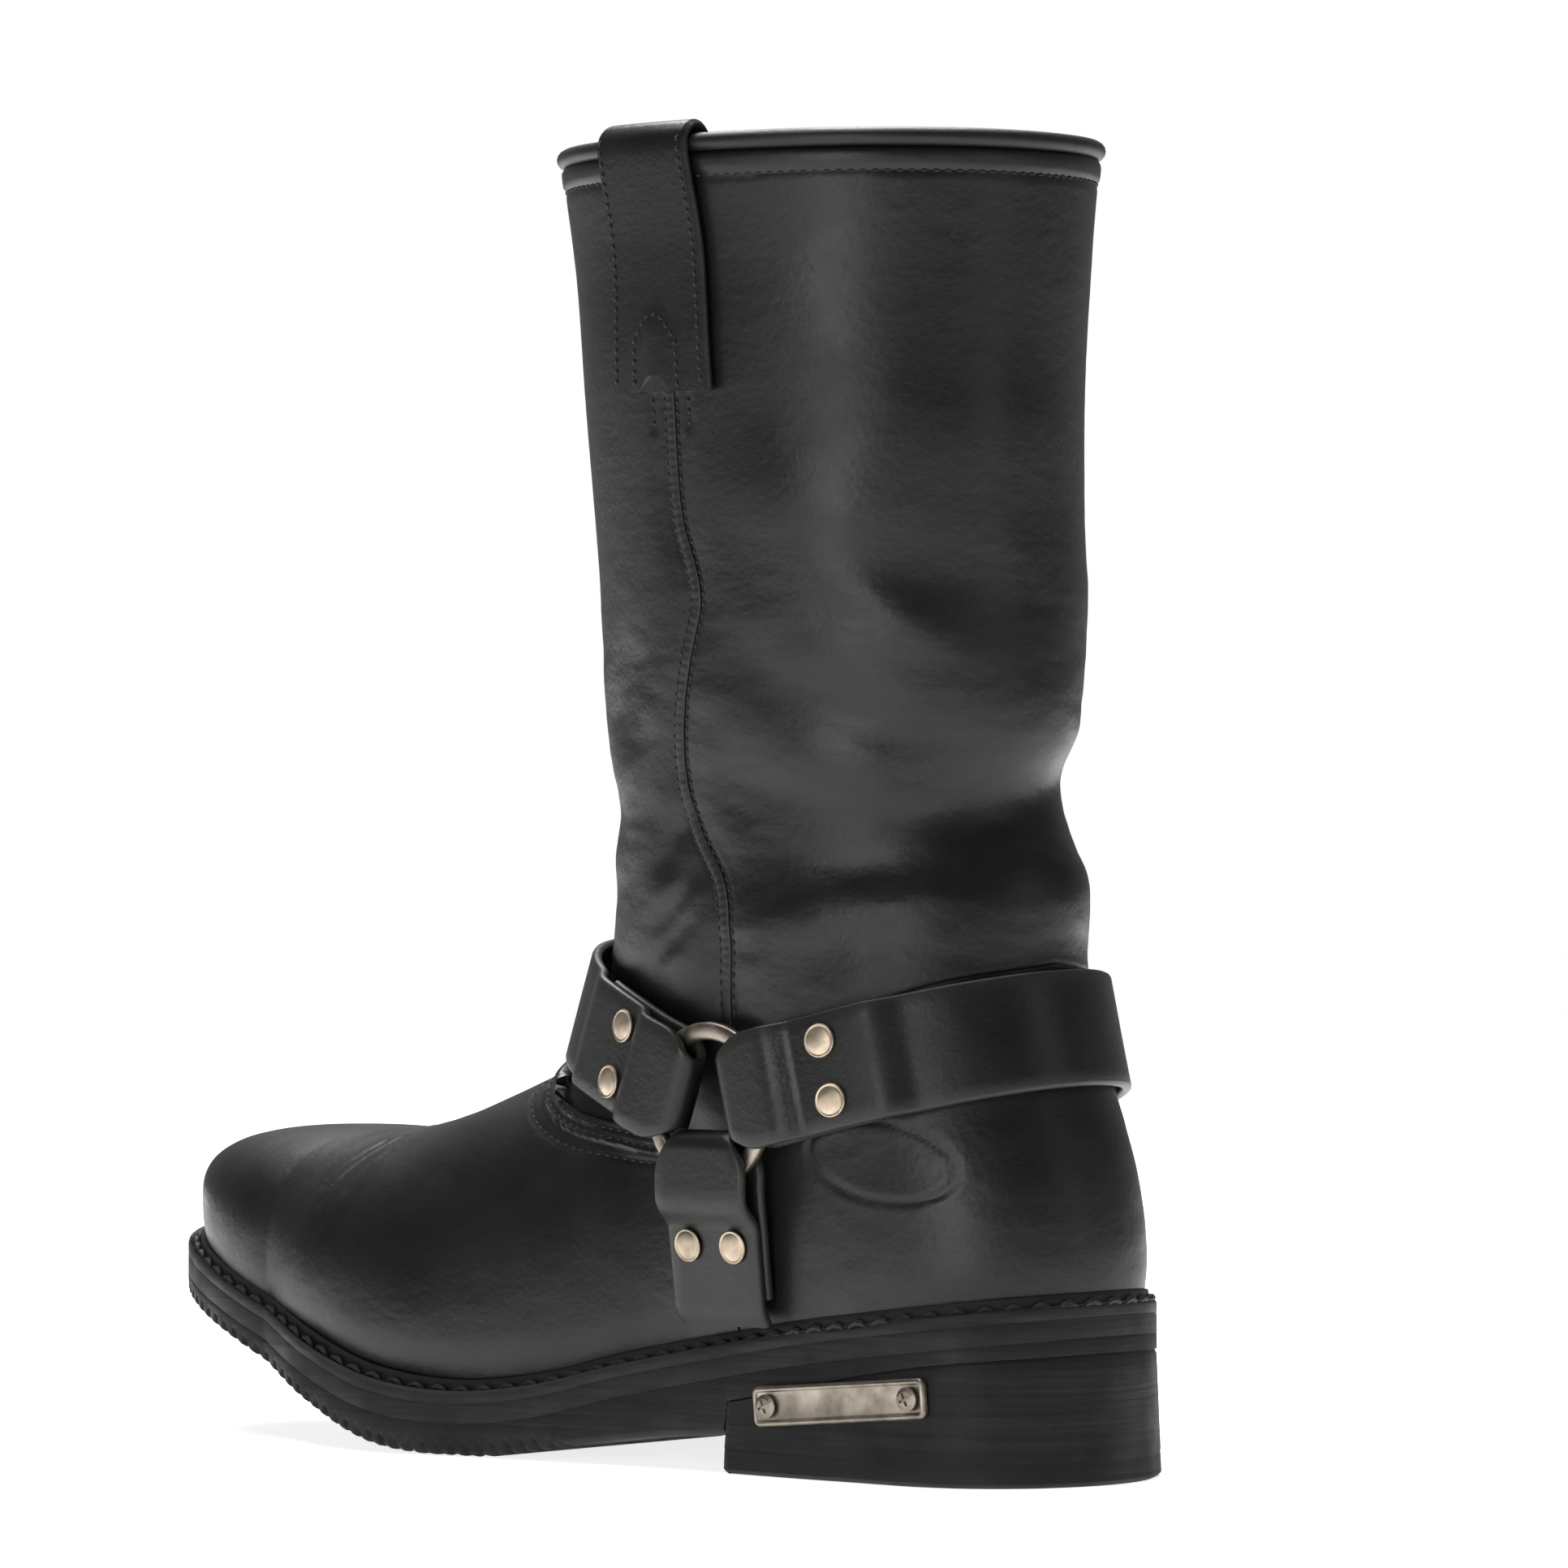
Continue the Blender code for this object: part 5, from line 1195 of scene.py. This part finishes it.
# Levels of the sole's layers, from the bottom up. Outsole: shares of the edge's roll inwards and upwards,
# how much of the teeth shows, and wear. Heel: share of its height and inset. Lift: height, inset and wear.
OUTSOLE_LEVELS = ((1, 0, 1, 0), (0.55, 0.10, 1, 0.3), (0.20, 0.35, 1, 0.4), (0.03, 0.62, 1, 0.2),
                  (0, 1.6, 0.2, 0), (0, 1.9, 0, 0))
HEEL_LEVELS = ((0, -0.0008), (0.03, -0.0009), (0.4, -0.0005), (0.8, -0.0001), (0.96, 0.0001), (1.0, 0.0006))
LIFT_LEVELS = ((0.0, 0.0007, 0.4), (0.0005, -0.0004, 0.6), (0.0012, -0.0011, 0.3), (0.0052, -0.0009, 0.1),
               (0.0060, -0.0008, 0.1))


def build_sole():
    """Midsole, outsole, heel and top lift."""
    whole = OUTSOLE_LENGTH * (1 - np.cos(np.linspace(0, math.pi, 701))) / 2
    top = under_welt(MIDSOLE_TOP)
    base = under_welt(MIDSOLE_TOP + MIDSOLE_THICK)
    levels = [(flat(0.0002), lambda x: base(x) - 2 * GAP, 0.0), (flat(0), base, 0.0),
              (flat(0), lambda x: top(x) - 0.0002, 0.1), (flat(0.0002), lambda x: top(x) + 2 * GAP, 0.1)]
    slab("midsole_edge", whole[::2], levels, ["midsole"])
    roof = under_welt(OUTSOLE_TOP)
    levels = []
    for inward, upward, tooth, wear_and_highlight in OUTSOLE_LEVELS:
        levels.append((lambda x, k=inward: k * SOLE_ROLL[0] * beyond_heel(x),
                       lambda x, u=upward, t=tooth: sole_under(x) + beyond_heel(x) * u * SOLE_ROLL[1]
                       + 0.0002 * (u + 0.1) + t * teeth(x), wear_and_highlight))
    levels += [(flat(0), lambda x: roof(x) - 0.0002, 0.0), (flat(0.0001), roof, 0.0)]
    slab("outsole_tread", whole, levels, ["outsole"], 12, lugs)
    heel = HEEL_BREAST * (1 - np.cos(np.linspace(0, math.pi / 2, 181)))
    levels = []
    for share, inset in HEEL_LEVELS:
        levels.append((flat(inset), lambda x, s=share: TOP_LIFT + (heel_seat(x) - TOP_LIFT) * s, 0.0))
    slab("heel_stack", heel, levels, ["heel_block"])
    lift = [(flat(inset), flat(z), wear_and_highlight) for z, inset, wear_and_highlight in LIFT_LEVELS]
    slab("heel_lift", heel, lift, ["heel_top_lift"])


def build_welt(lowest):
    """The strip round the upper, with a ridge against the leather and a channel of chunky stitches."""
    inner = even(np.concatenate([lowest, lowest[:1]]), 761)[:-1]
    out = level_normals(inner)
    for _ in range(6):
        out = unit(np.roll(out, 1, axis=0) + out + np.roll(out, -1, axis=0))
    above = inner - 0.004 * out + [0, 0, FEATHER_DROP + WELT_RIDGE]
    inner = shoot(above, out, 0.03)
    rim = shoot(inner, out, 0.03, sole_shape)
    width = np.linalg.norm((rim - inner)[:, :2], axis=1)
    squeeze = np.clip((width - WELT_CLEAR) / (WELT_CHANNEL[1] - WELT_CLEAR + WELT_LIP), 0.2, 1)
    near, far = (WELT_CLEAR + (distance - WELT_CLEAR) * squeeze for distance in WELT_CHANNEL)
    still = WELT_CLEAR - 0.0006
    ridge = WELT_RIDGE * (1 + 0.05 * rough(inner, (70, 70, 70), 31))
    # distance out from the upper, height over the welt's top, and wear: base, rim, lip, channel and ridge
    profile = [(still, -WELT_THICK, 0), (width - 0.0003, -WELT_THICK, 0), (width, 0.0004 - WELT_THICK, 0),
               (width, -0.0011, 0.2), (width - 0.0002, -0.0005, 0.9), (width - 0.0006, -0.0001, 0.8),
               (far + 0.0004, 0.0, 0.2), (far, -0.0002, 0), (far - 0.0003, -0.0008, 0),
               (far - 0.0008, -CHANNEL_DEPTH, 0), (near + 0.0005, -CHANNEL_DEPTH, 0),
               (near + 0.0001, -0.0004, 0), (near, 0.4 * ridge, 0), (near - 0.0001, ridge - 0.0005, 0.1),
               (near - 0.0005, ridge, 0.3), (still + 0.0003, ridge, 0.1), (still, ridge - 0.0004, 0)]
    rings = []
    for distance, up, _ in profile:
        spot = inner + out * np.broadcast_to(distance, len(inner))[:, None]
        rings.append(np.column_stack([spot[:, :2], welt_z(spot[:, 0]) + up]))
    points = np.array(rings).swapaxes(0, 1).reshape(-1, 3)
    worn_and_highlit = [wear_and_highlight for _, _, wear_and_highlight in profile] * len(inner)
    publish("welt_strip", points, tube_faces(len(inner), len(profile), closed=True), RUBBER,
            wear_and_highlight=worn_and_highlit, replaces=["welt"])
    middle = inner + out * ((near + far) / 2)[:, None]
    line = np.column_stack([middle[:, :2], welt_z(middle[:, 0]) + WELT_STITCH_SEAT])
    line = np.concatenate([line, line[:1]])
    rising = np.tile(UPWARD, (len(line), 1))
    stitches("welt_stitches", [(line, rising)], replaces=["welt_thread"], **WELT_STITCH)


def build_sock():
    """The sock over the board, its edge turned down all round."""
    wall = FOOT_LINING_DEPTH + LINING_THICK + 0.0016
    low = MIDSOLE_TOP - GAP - 0.0021 - 0.0022 - 3 * GAP
    waist = 0.15 * LONG
    seat = np.array([[waist, foot_centre(waist), WELT_TOP(end) * TALL] for end in (0.010, 0.290)])
    back, front = shoot(seat, np.array([[-1.0, 0.0, 0.0], [1.0, 0.0, 0.0]]))[:, 0]
    middle = (back + front) / 2
    stretch = (front - back) / (front - back - 2 * wall)
    points = []
    section = [(-0.9, 0), (0.9, 0), (0.97, 0.3), (1, 0.7), (0.97, 0.93), (0.88, 1), (0.4, 0.9), (0, 0.86),
               (-0.4, 0.9), (-0.88, 1), (-0.97, 0.93), (-1, 0.7), (-0.97, 0.3)]
    places = middle + (front - back - 2 * wall) / 2 * -np.cos(np.linspace(0, math.pi, 81))
    for x in places:
        z = float(welt_z(x))
        wider = np.clip(middle + (x - middle) * stretch, back + 0.0006, front - 0.0006)
        hub = np.array([[wider, foot_centre(wider), z]] * 2)
        sides = shoot(hub, np.array([[0.0, -1.0, 0.0], [0.0, 1.0, 0.0]]))[:, 1]
        half = max((sides[1] - sides[0]) / 2 - wall, 0.003)
        points += [(x, sides.mean() + half * across, z - low + 0.0030 * up) for across, up in section]
    publish("sock", points, tube_faces(len(places), len(section)), LINING, replaces=["sock_liner"])


# The harness


def smoothed(line, rounds, count):
    """The line with its corners eased, at evenly spaced points."""
    line = even(line, 4 * count)
    for _ in range(rounds):
        line[1:-1] = (line[:-2] + 2 * line[1:-1] + line[2:]) / 4
    return even(line, count)


def outline_2d(points, centre):
    """The convex outline of the points, in order of their direction from a centre."""
    hull = []
    for point in sorted(map(tuple, points), key=lambda p: math.atan2(p[1] - centre[1], p[0] - centre[0])):
        while len(hull) > 1:
            a, b = hull[-2], hull[-1]
            if (b[0] - a[0]) * (point[1] - a[1]) - (b[1] - a[1]) * (point[0] - a[0]) > 0:
                break
            hull.pop()
        hull.append(point)
    return np.array(hull)


def offset_2d(line, away):
    """The line moved to its outer side, with each stretch parallel to the old one, and which way out is."""
    along = unit(np.diff(line, axis=0))
    out = np.stack([along[:, 1], -along[:, 0]], axis=1)
    before = np.concatenate([out[:1], out])
    after = np.concatenate([out, out[-1:]])
    mitre = (before + after) / (1 + (before * after).sum(axis=1))[:, None]
    return line + mitre * np.broadcast_to(away, len(line))[:, None], mitre


SINGLE = STRAP_THICK / 2
DOUBLE = 1.5 * STRAP_THICK + GAP
OVER_RING = SINGLE + 2 * FOLD_RADIUS


def layer_height(along):
    """How far the strap's middle stands off the boot, by distance from the fold."""
    past_ring = RING_REACH - FOLD_START
    down = ease(along, past_ring, past_ring + 0.0075)
    off_tail = ease(along, TAIL_LENGTH + 0.001, TAIL_LENGTH + 0.010)
    return OVER_RING + (DOUBLE - OVER_RING) * down + (SINGLE - DOUBLE) * off_tail


def over_laps(points):
    """How far the leather under each point stands proud of the pattern surface."""
    turn, height = leg_place(points)
    edge = np.interp(np.abs(turn), EDGE_ANGLES, EDGE_HEIGHTS) + 0.002
    return np.where(height < edge, LAP_PROUD, 0)


def on_top(line, heights, distance):
    """The place on a strap's outer face at a distance along its line, and which way that faces."""
    top, facing = offset_2d(line, heights + SINGLE)
    at = distance / np.linalg.norm(line[1] - line[0])
    i = int(at)
    share = at - i
    return top[i] * (1 - share) + top[i + 1] * share, facing[i] * (1 - share) + facing[i + 1] * share


def fold_arc(centre, start, stop):
    turns = np.linspace(start, stop, 22)[1:-1]
    return np.array(centre) + FOLD_RADIUS * np.stack([np.cos(turns), np.sin(turns)], axis=1)


def strap_skin(name, centreline, distance, place, body, replaces):
    """A strap with round edges along a flat path, coloured lighter there as a painted highlight; place turns
    (along, out, across) into the boot's frame, and distance, from the fold, narrows its free end."""
    _, mitre = offset_2d(centreline, 0)
    spread_out = np.maximum(1.2 * distance, 0.006)
    near = np.maximum(0.006 - np.abs(spread_out - STRAP_WIDTH / 2), 0)
    half = np.minimum(spread_out, STRAP_WIDTH / 2) - near ** 2 / 0.024
    round_share = 0.07
    across = np.array([-1, -0.992, -0.97, -0.93, -0.72, -0.36, 0, 0.36, 0.72, 0.93, 0.97, 0.992, 1])
    past = np.clip((np.abs(across) - 1 + round_share) / round_share, 0, 1)
    thick = SINGLE * np.sqrt(1 - past ** 2) * (1 - 0.05 * across ** 2)
    section = list(zip(across, thick)) + list(zip(across[-2:0:-1], -thick[-2:0:-1]))
    points = []
    worn_and_highlit = []
    for spot, out, wide in zip(centreline, mitre, half):
        for sideways, up in section:
            points.append(place(*(spot + out * up), sideways * wide))
            # Painted highlight: the strap's round edges are coloured lighter.
            worn_and_highlit.append(float(ease(abs(sideways), 0.88, 0.98)) * 0.8)
    points = np.array(points)
    points = points + rough(points, (60, 60, 60), 41)[:, None] * UNEVEN
    publish(name, points, tube_faces(len(centreline), len(section)), STRAP, body, wear_and_highlight=worn_and_highlit,
            crease=50, replaces=replaces)


def denser(line):
    return even(spread(line, 5 * len(line)), 4 * len(line))


def strap_round(forward, rise, rivet_along, kind):
    """A strap from ring to ring round the boot: its skin, and the places of its rivets."""
    e = np.array([forward * math.cos(rise), 0, math.sin(rise)])
    up = np.array([-forward * math.sin(rise), 0, math.cos(rise)])
    hub = np.array([RING_X, 0, RING_Z])
    flank = RING_Y - FOLD_RADIUS - SINGLE
    surface = [(reach, side * flank) for reach in (FOLD_START, RING_REACH) for side in (-1, 1)]
    for lift in np.linspace(0, STRAP_SWING, 3):
        turned_e = math.cos(lift) * e + math.sin(lift) * up
        turned_up = math.cos(lift) * up - math.sin(lift) * e
        for across in np.linspace(-STRAP_WIDTH / 2, STRAP_WIDTH / 2, 7):
            start = hub + turned_up * across
            angles = np.radians(np.linspace(-66, 66, 45))
            heading = np.cos(angles)[:, None] * turned_e + np.sin(angles)[:, None] * np.array([0, 1, 0])
            hit = shoot(np.tile(start, (len(angles), 1)), heading)
            hit += normals(hit) * (over_laps(hit) + STRAP_CLEAR)[:, None]
            ahead = (hit - start) @ turned_e
            surface += [(x, y) for x, y in zip(ahead, hit[:, 1]) if x > FOLD_START]
    line = denser(smoothed(outline_2d(surface, (FOLD_START, 0)), 7, 31))
    step = np.linalg.norm(line[1] - line[0])
    along = np.arange(len(line)) * step
    heights = layer_height(np.minimum(along, along[::-1]))
    outer, _ = offset_2d(line, heights)
    inner, _ = offset_2d(line, SINGLE)
    tail = round(TAIL_LENGTH / step)
    arcs = [fold_arc((FOLD_START, side * RING_Y), math.pi / 2, 3 * math.pi / 2) for side in (-1, 1)]
    centreline = np.concatenate([inner[tail::-1], arcs[0], outer, arcs[1], inner[:-tail - 2:-1]])

    def place(ahead, side_way, across):
        return hub + e * ahead + up * across + np.array([0, side_way, 0])

    strap_skin(f"harness_{kind}", centreline, centreline[:, 0], place, f"strap_{kind}", [f"strap_{kind}"])
    for name, distance in (("medial", rivet_along), ("lateral", along[-1] - rivet_along)):
        point, away = on_top(line, heights, distance)
        axis = e * away[0] + np.array([0, away[1], 0])
        for shift, level_name in ((0.5, "upper"), (-0.5, "lower")):
            spot = place(*point, shift * RIVET_SPACING)
            build_rivet(f"{kind}_{name}_{level_name}", spot, axis, up, f"strap_{kind}")


def strap_down(side, kind):
    """A strap from one ring down to the welt, and its rivets."""
    hub = np.array([RING_X, 0, RING_Z])
    rear = RING_X - STRAP_WIDTH / 2
    foot = RING_Z - (float(welt_z(rear)) + LOWER_STRAP_FOOT)
    wall = []
    downs = np.linspace(FOLD_START, foot, 40)
    for down in downs:
        shifts = np.linspace(-0.5, 0.5, 7) * STRAP_WIDTH
        start = np.array([[RING_X + shift, 0, RING_Z - down] for shift in shifts])
        hit = shoot(start, np.tile([0.0, side, 0.0], (len(start), 1)))
        hit += normals(hit) * (LAP_PROUD + 2 * GAP)
        under_ring = RING_Y - FOLD_RADIUS - SINGLE if down < RING_REACH else 0
        wall.append(max(np.abs(hit[:, 1]).max(), under_ring))
    line = denser(smoothed(outline_2d(np.stack([wall, downs], axis=1), (0, foot / 2)), 4, 18))
    step = np.linalg.norm(line[1] - line[0])
    heights = layer_height(np.arange(len(line)) * step)
    outer, _ = offset_2d(line, heights)
    inner, _ = offset_2d(line, SINGLE)
    tail = round(TAIL_LENGTH / step)
    arc = fold_arc((RING_Y, FOLD_START), -math.pi, 0)
    centreline = np.concatenate([inner[tail::-1], arc, outer])

    def place(out_way, down, across):
        return hub + np.array([across, side * out_way, -down])

    strap_skin(f"harness_lower_{kind}", centreline, centreline[:, 1], place, "boot", [f"strap_lower_{kind}"])
    point, away = on_top(line, heights, RIVET_DOWN)
    axis = np.array([0, side * away[0], -away[1]])
    for shift, name in ((0.5, "front"), (-0.5, "rear")):
        spot = place(*point, shift * RIVET_SPACING)
        build_rivet(f"lower_{kind}_{name}", spot, axis, np.array([1.0, 0, 0]), "boot")


def facing(point, axis, across):
    """A placement whose z runs along axis."""
    z = Vector(axis).normalized()
    x = (Vector(across) - z * z.dot(Vector(across))).normalized()
    return Matrix.Translation(Vector(point)) @ Matrix((x, z.cross(x), z)).transposed().to_4x4()


def turned(profile, steps):
    """Points and faces of a solid of revolution about z; the profile runs from pole to pole."""
    points = []
    for radius, z in profile:
        for k in range(steps):
            turn = 2 * math.pi * k / steps
            points.append((radius * math.cos(turn), radius * math.sin(turn), z))
    return points, tube_faces(len(profile), steps)


RIVET_DEPTH = 2 * STRAP_THICK + GAP
CAP_FOOT = 0.0002
CAP_RISE = 0.0015
RIVET_POST = [(0.00002, -RIVET_DEPTH), (0.0023, -RIVET_DEPTH), (0.0024, 0.0006 - RIVET_DEPTH),
              (0.0015, 0.0007 - RIVET_DEPTH), (0.0015, CAP_FOOT)]
CAP_SECTION = [(0.95, 0.02), (1.0, 0.22), (0.985, 0.42), (0.93, 0.52), (0.87, 0.50), (0.83, 0.46),
               (0.78, 0.54), (0.66, 0.66), (0.5, 0.76), (0.33, 0.83), (0.16, 0.87), (0.004, 0.88)]


def build_rivet(place_name, point, axis, across, body):
    """A domed cap with a plain rolled rim, its post and its peened end."""
    points, faces = turned(RIVET_POST + [(share * RIVET_CAP, CAP_FOOT + CAP_RISE * up)
                                         for share, up in CAP_SECTION], 40)
    matrix = facing(point, axis, across)
    points = np.array([matrix @ Vector(spot) for spot in points])
    publish(f"rivet_cap_{place_name}", points, faces, RIVET_METAL, body, replaces=[f"rivet_{place_name}"])


def build_ring(name, side):
    """A flat cast ring with eased corners."""
    centre = RING_RADIUS - RING_WIDE / 2
    steps = 24
    rounds = 120
    points = []
    for a in np.arange(rounds) * 2 * math.pi / rounds:
        for b in np.arange(steps) * 2 * math.pi / steps:
            wide = math.copysign(abs(math.cos(b)) ** RING_CORNER, math.cos(b)) * RING_WIDE / 2
            thick = math.copysign(abs(math.sin(b)) ** RING_CORNER, math.sin(b)) * RING_THICK / 2
            reach = centre + wide
            points.append((RING_X + reach * math.cos(a), side * RING_Y + thick, RING_Z + reach * math.sin(a)))
    publish(f"harness_ring_{name}", points, tube_faces(rounds, steps, closed=True), NICKEL,
            f"ring_{name}", replaces=[f"ring_{name}"])


# The heel's plate

BADGE_LENGTH = 0.0520
BADGE_HEIGHT = 0.0097
BADGE_X = 0.0527 * LONG
BADGE_Z = 0.0190 * TALL
BADGE_TILT = math.radians(5.0)
BADGE_CORNER = 0.0018
BADGE_SECTION = ((0.0, -0.0001), (0.0, 0.0008), (0.0003, 0.0012), (0.0008, 0.0014), (0.0012, 0.0013),
                 (0.0015, 0.0010), (0.0017, 0.00095))


def build_badge():
    """A blank plate on the outer face of the heel, its rim raised and its corners rounded."""
    shifts = np.linspace(-BADGE_LENGTH / 2, BADGE_LENGTH / 2, 9)
    wall = sole_sides(BADGE_X + shifts)[1]
    slant = math.atan2(wall[-1] - wall[0], BADGE_LENGTH)
    along = Vector((math.cos(slant), math.sin(slant), 0))
    out = Vector((-math.sin(slant), math.cos(slant), 0))
    centre = Vector((BADGE_X, (wall - shifts * math.tan(slant)).max() + GAP, BADGE_Z))
    matrix = facing(centre, out, along) @ Matrix.Rotation(BADGE_TILT, 4, "Z")
    corners = [(turn, quarter) for quarter in range(4)
               for turn in np.linspace(quarter, quarter + 1, 9) * math.pi / 2]
    points = []
    for inset, z in BADGE_SECTION:
        for turn, quarter in corners:
            sign_x = 1 if quarter in (0, 3) else -1
            sign_y = 1 if quarter in (0, 1) else -1
            radius = max(BADGE_CORNER - inset, 0.0003)
            x = sign_x * (BADGE_LENGTH / 2 - inset - radius) + radius * math.cos(turn)
            y = sign_y * (BADGE_HEIGHT / 2 - inset - radius) + radius * math.sin(turn)
            points.append(matrix @ Vector((x, y, z)))
    publish("heel_plate", np.array(points), tube_faces(len(BADGE_SECTION), len(corners)), NICKEL,
            replaces=["heel_badge"], crease=30)


def dress_hidden():
    """Finishes for the solids that keep their own shape: inner layers, nails and the plate's screws."""
    finishes = {"insole_board": BOARD, "cork_filler": CORK, "shank": STEEL, "toe_puff": FELT,
                "heel_stiffener": FELT, "badge_screw_front": NICKEL, "badge_screw_rear": NICKEL}
    finishes.update({f"heel_nail_{number}": STEEL for number in range(1, 5)})
    for name, skin in finishes.items():
        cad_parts[name].data.materials.clear()
        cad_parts[name].data.materials.append(skin)


# Studio


def area_light(name, place, size, power, aim):
    """A soft rectangular lamp that the camera doesn't see."""
    lamp = bpy.data.lights.new(name, "AREA")
    lamp.shape = "RECTANGLE"
    lamp.size, lamp.size_y = size
    lamp.energy = power
    made = bpy.data.objects.new(name, lamp)
    made.location = place
    made.visible_camera = False
    made.rotation_euler = (Vector(aim) - Vector(place)).to_track_quat("-Z", "Y").to_euler()
    bpy.context.scene.collection.objects.link(made)


VIEW = Vector((0.669, -0.743, 0.0)).normalized()
CAMERA_PLACE = Vector((-1.3654, 1.4651, 0.166))
FOCAL_LENGTH = 184.1
SENSOR_WIDTH = 36
FLOOR_RADIUS = 3.0
FLOOR_GLOW = 0.80
ROOM_GLOW = (0.06, 0.22)
# Each light's place, size in metres, power in watts and the point that it faces
LIGHTS = {
    "top": ((0.25, -0.05, 1.6), (1.2, 1.2), 26, (0, 0, 0.15)),
    "key": ((-0.55, 1.90, 0.42), (0.7, 0.7), 9, (0, 0, 0.15)),
    "heel_side": ((-2.0, -0.3, 0.7), (0.6, 1.2), 2, (0, 0, 0.15)),
    "toe_top": ((0.76, -0.74, 1.74), (0.9, 0.9), 30, (0.1, 0, 0.08)),
}


def build_studio():
    """A pale floor, a soft room that is dimmer behind the camera, and broad lights above and behind."""
    scene = bpy.context.scene
    world = bpy.data.worlds.new("studio")
    scene.world = world
    world.use_nodes = True
    tree = world.node_tree
    tree.nodes.clear()
    heading = node(tree, "TexCoord").outputs["Generated"]
    ahead = node(tree, "VectorMath", {0: heading, 1: VIEW}, operation="DOT_PRODUCT").outputs["Value"]
    glow = between(tree, ahead, *ROOM_GLOW, -0.5, 0.8)
    room = node(tree, "Background", {"Color": (1, 1, 1, 1), "Strength": glow}).outputs["Background"]
    plain = node(tree, "Background", {"Color": (1, 1, 1, 1), "Strength": 1.0}).outputs["Background"]
    seen = node(tree, "LightPath").outputs["Is Camera Ray"]
    both = node(tree, "MixShader", {0: seen, 1: room, 2: plain}).outputs["Shader"]
    node(tree, "OutputWorld", {"Surface": both})
    for name, settings in LIGHTS.items():
        area_light(name, *settings)
    mesh = bpy.data.meshes.new("floor")
    turns = np.linspace(0, 2 * math.pi, 97)[:-1]
    rim = [(FLOOR_RADIUS * math.cos(t), FLOOR_RADIUS * math.sin(t), 0) for t in turns]
    mesh.from_pydata(rim, [], [tuple(range(len(rim)))])
    floor = bpy.data.objects.new("floor", mesh)
    scene.collection.objects.link(floor)
    paper, tree, skin = shader("floor_paper", Roughness=0.9, Emission_Color=(1, 1, 1, 1),
                               Emission_Strength=FLOOR_GLOW)
    feed(tree, skin, Base_Color=mixed(tree, clouds(tree, 3), (0.93, 0.93, 0.93), (0.95, 0.95, 0.95)))
    mesh.materials.append(paper)
    lens = bpy.data.cameras.new("camera")
    lens.lens = FOCAL_LENGTH
    lens.sensor_width = SENSOR_WIDTH
    lens.clip_end = 50
    camera = bpy.data.objects.new("camera", lens)
    camera.location = CAMERA_PLACE
    camera.rotation_euler = VIEW.to_track_quat("-Z", "Y").to_euler()
    scene.collection.objects.link(camera)
    scene.camera = camera
    scene.view_settings.view_transform = "Standard"


lowest_line = build_upper()
build_upper_stitches()
build_piping()
for side_name, side_sign in (("lateral", 1), ("medial", -1)):
    build_seam_strip(side_name, side_sign)
    build_pull_strap(side_name, side_sign)
    strap_down(side_sign, side_name)
    build_ring(side_name, side_sign)
build_sole()
build_welt(lowest_line)
build_sock()
strap_round(1, FRONT_STRAP_RISE, RIVET_FRONT, "front")
strap_round(-1, BACK_STRAP_RISE, RIVET_BACK, "back")
build_badge()
dress_hidden()
build_studio()
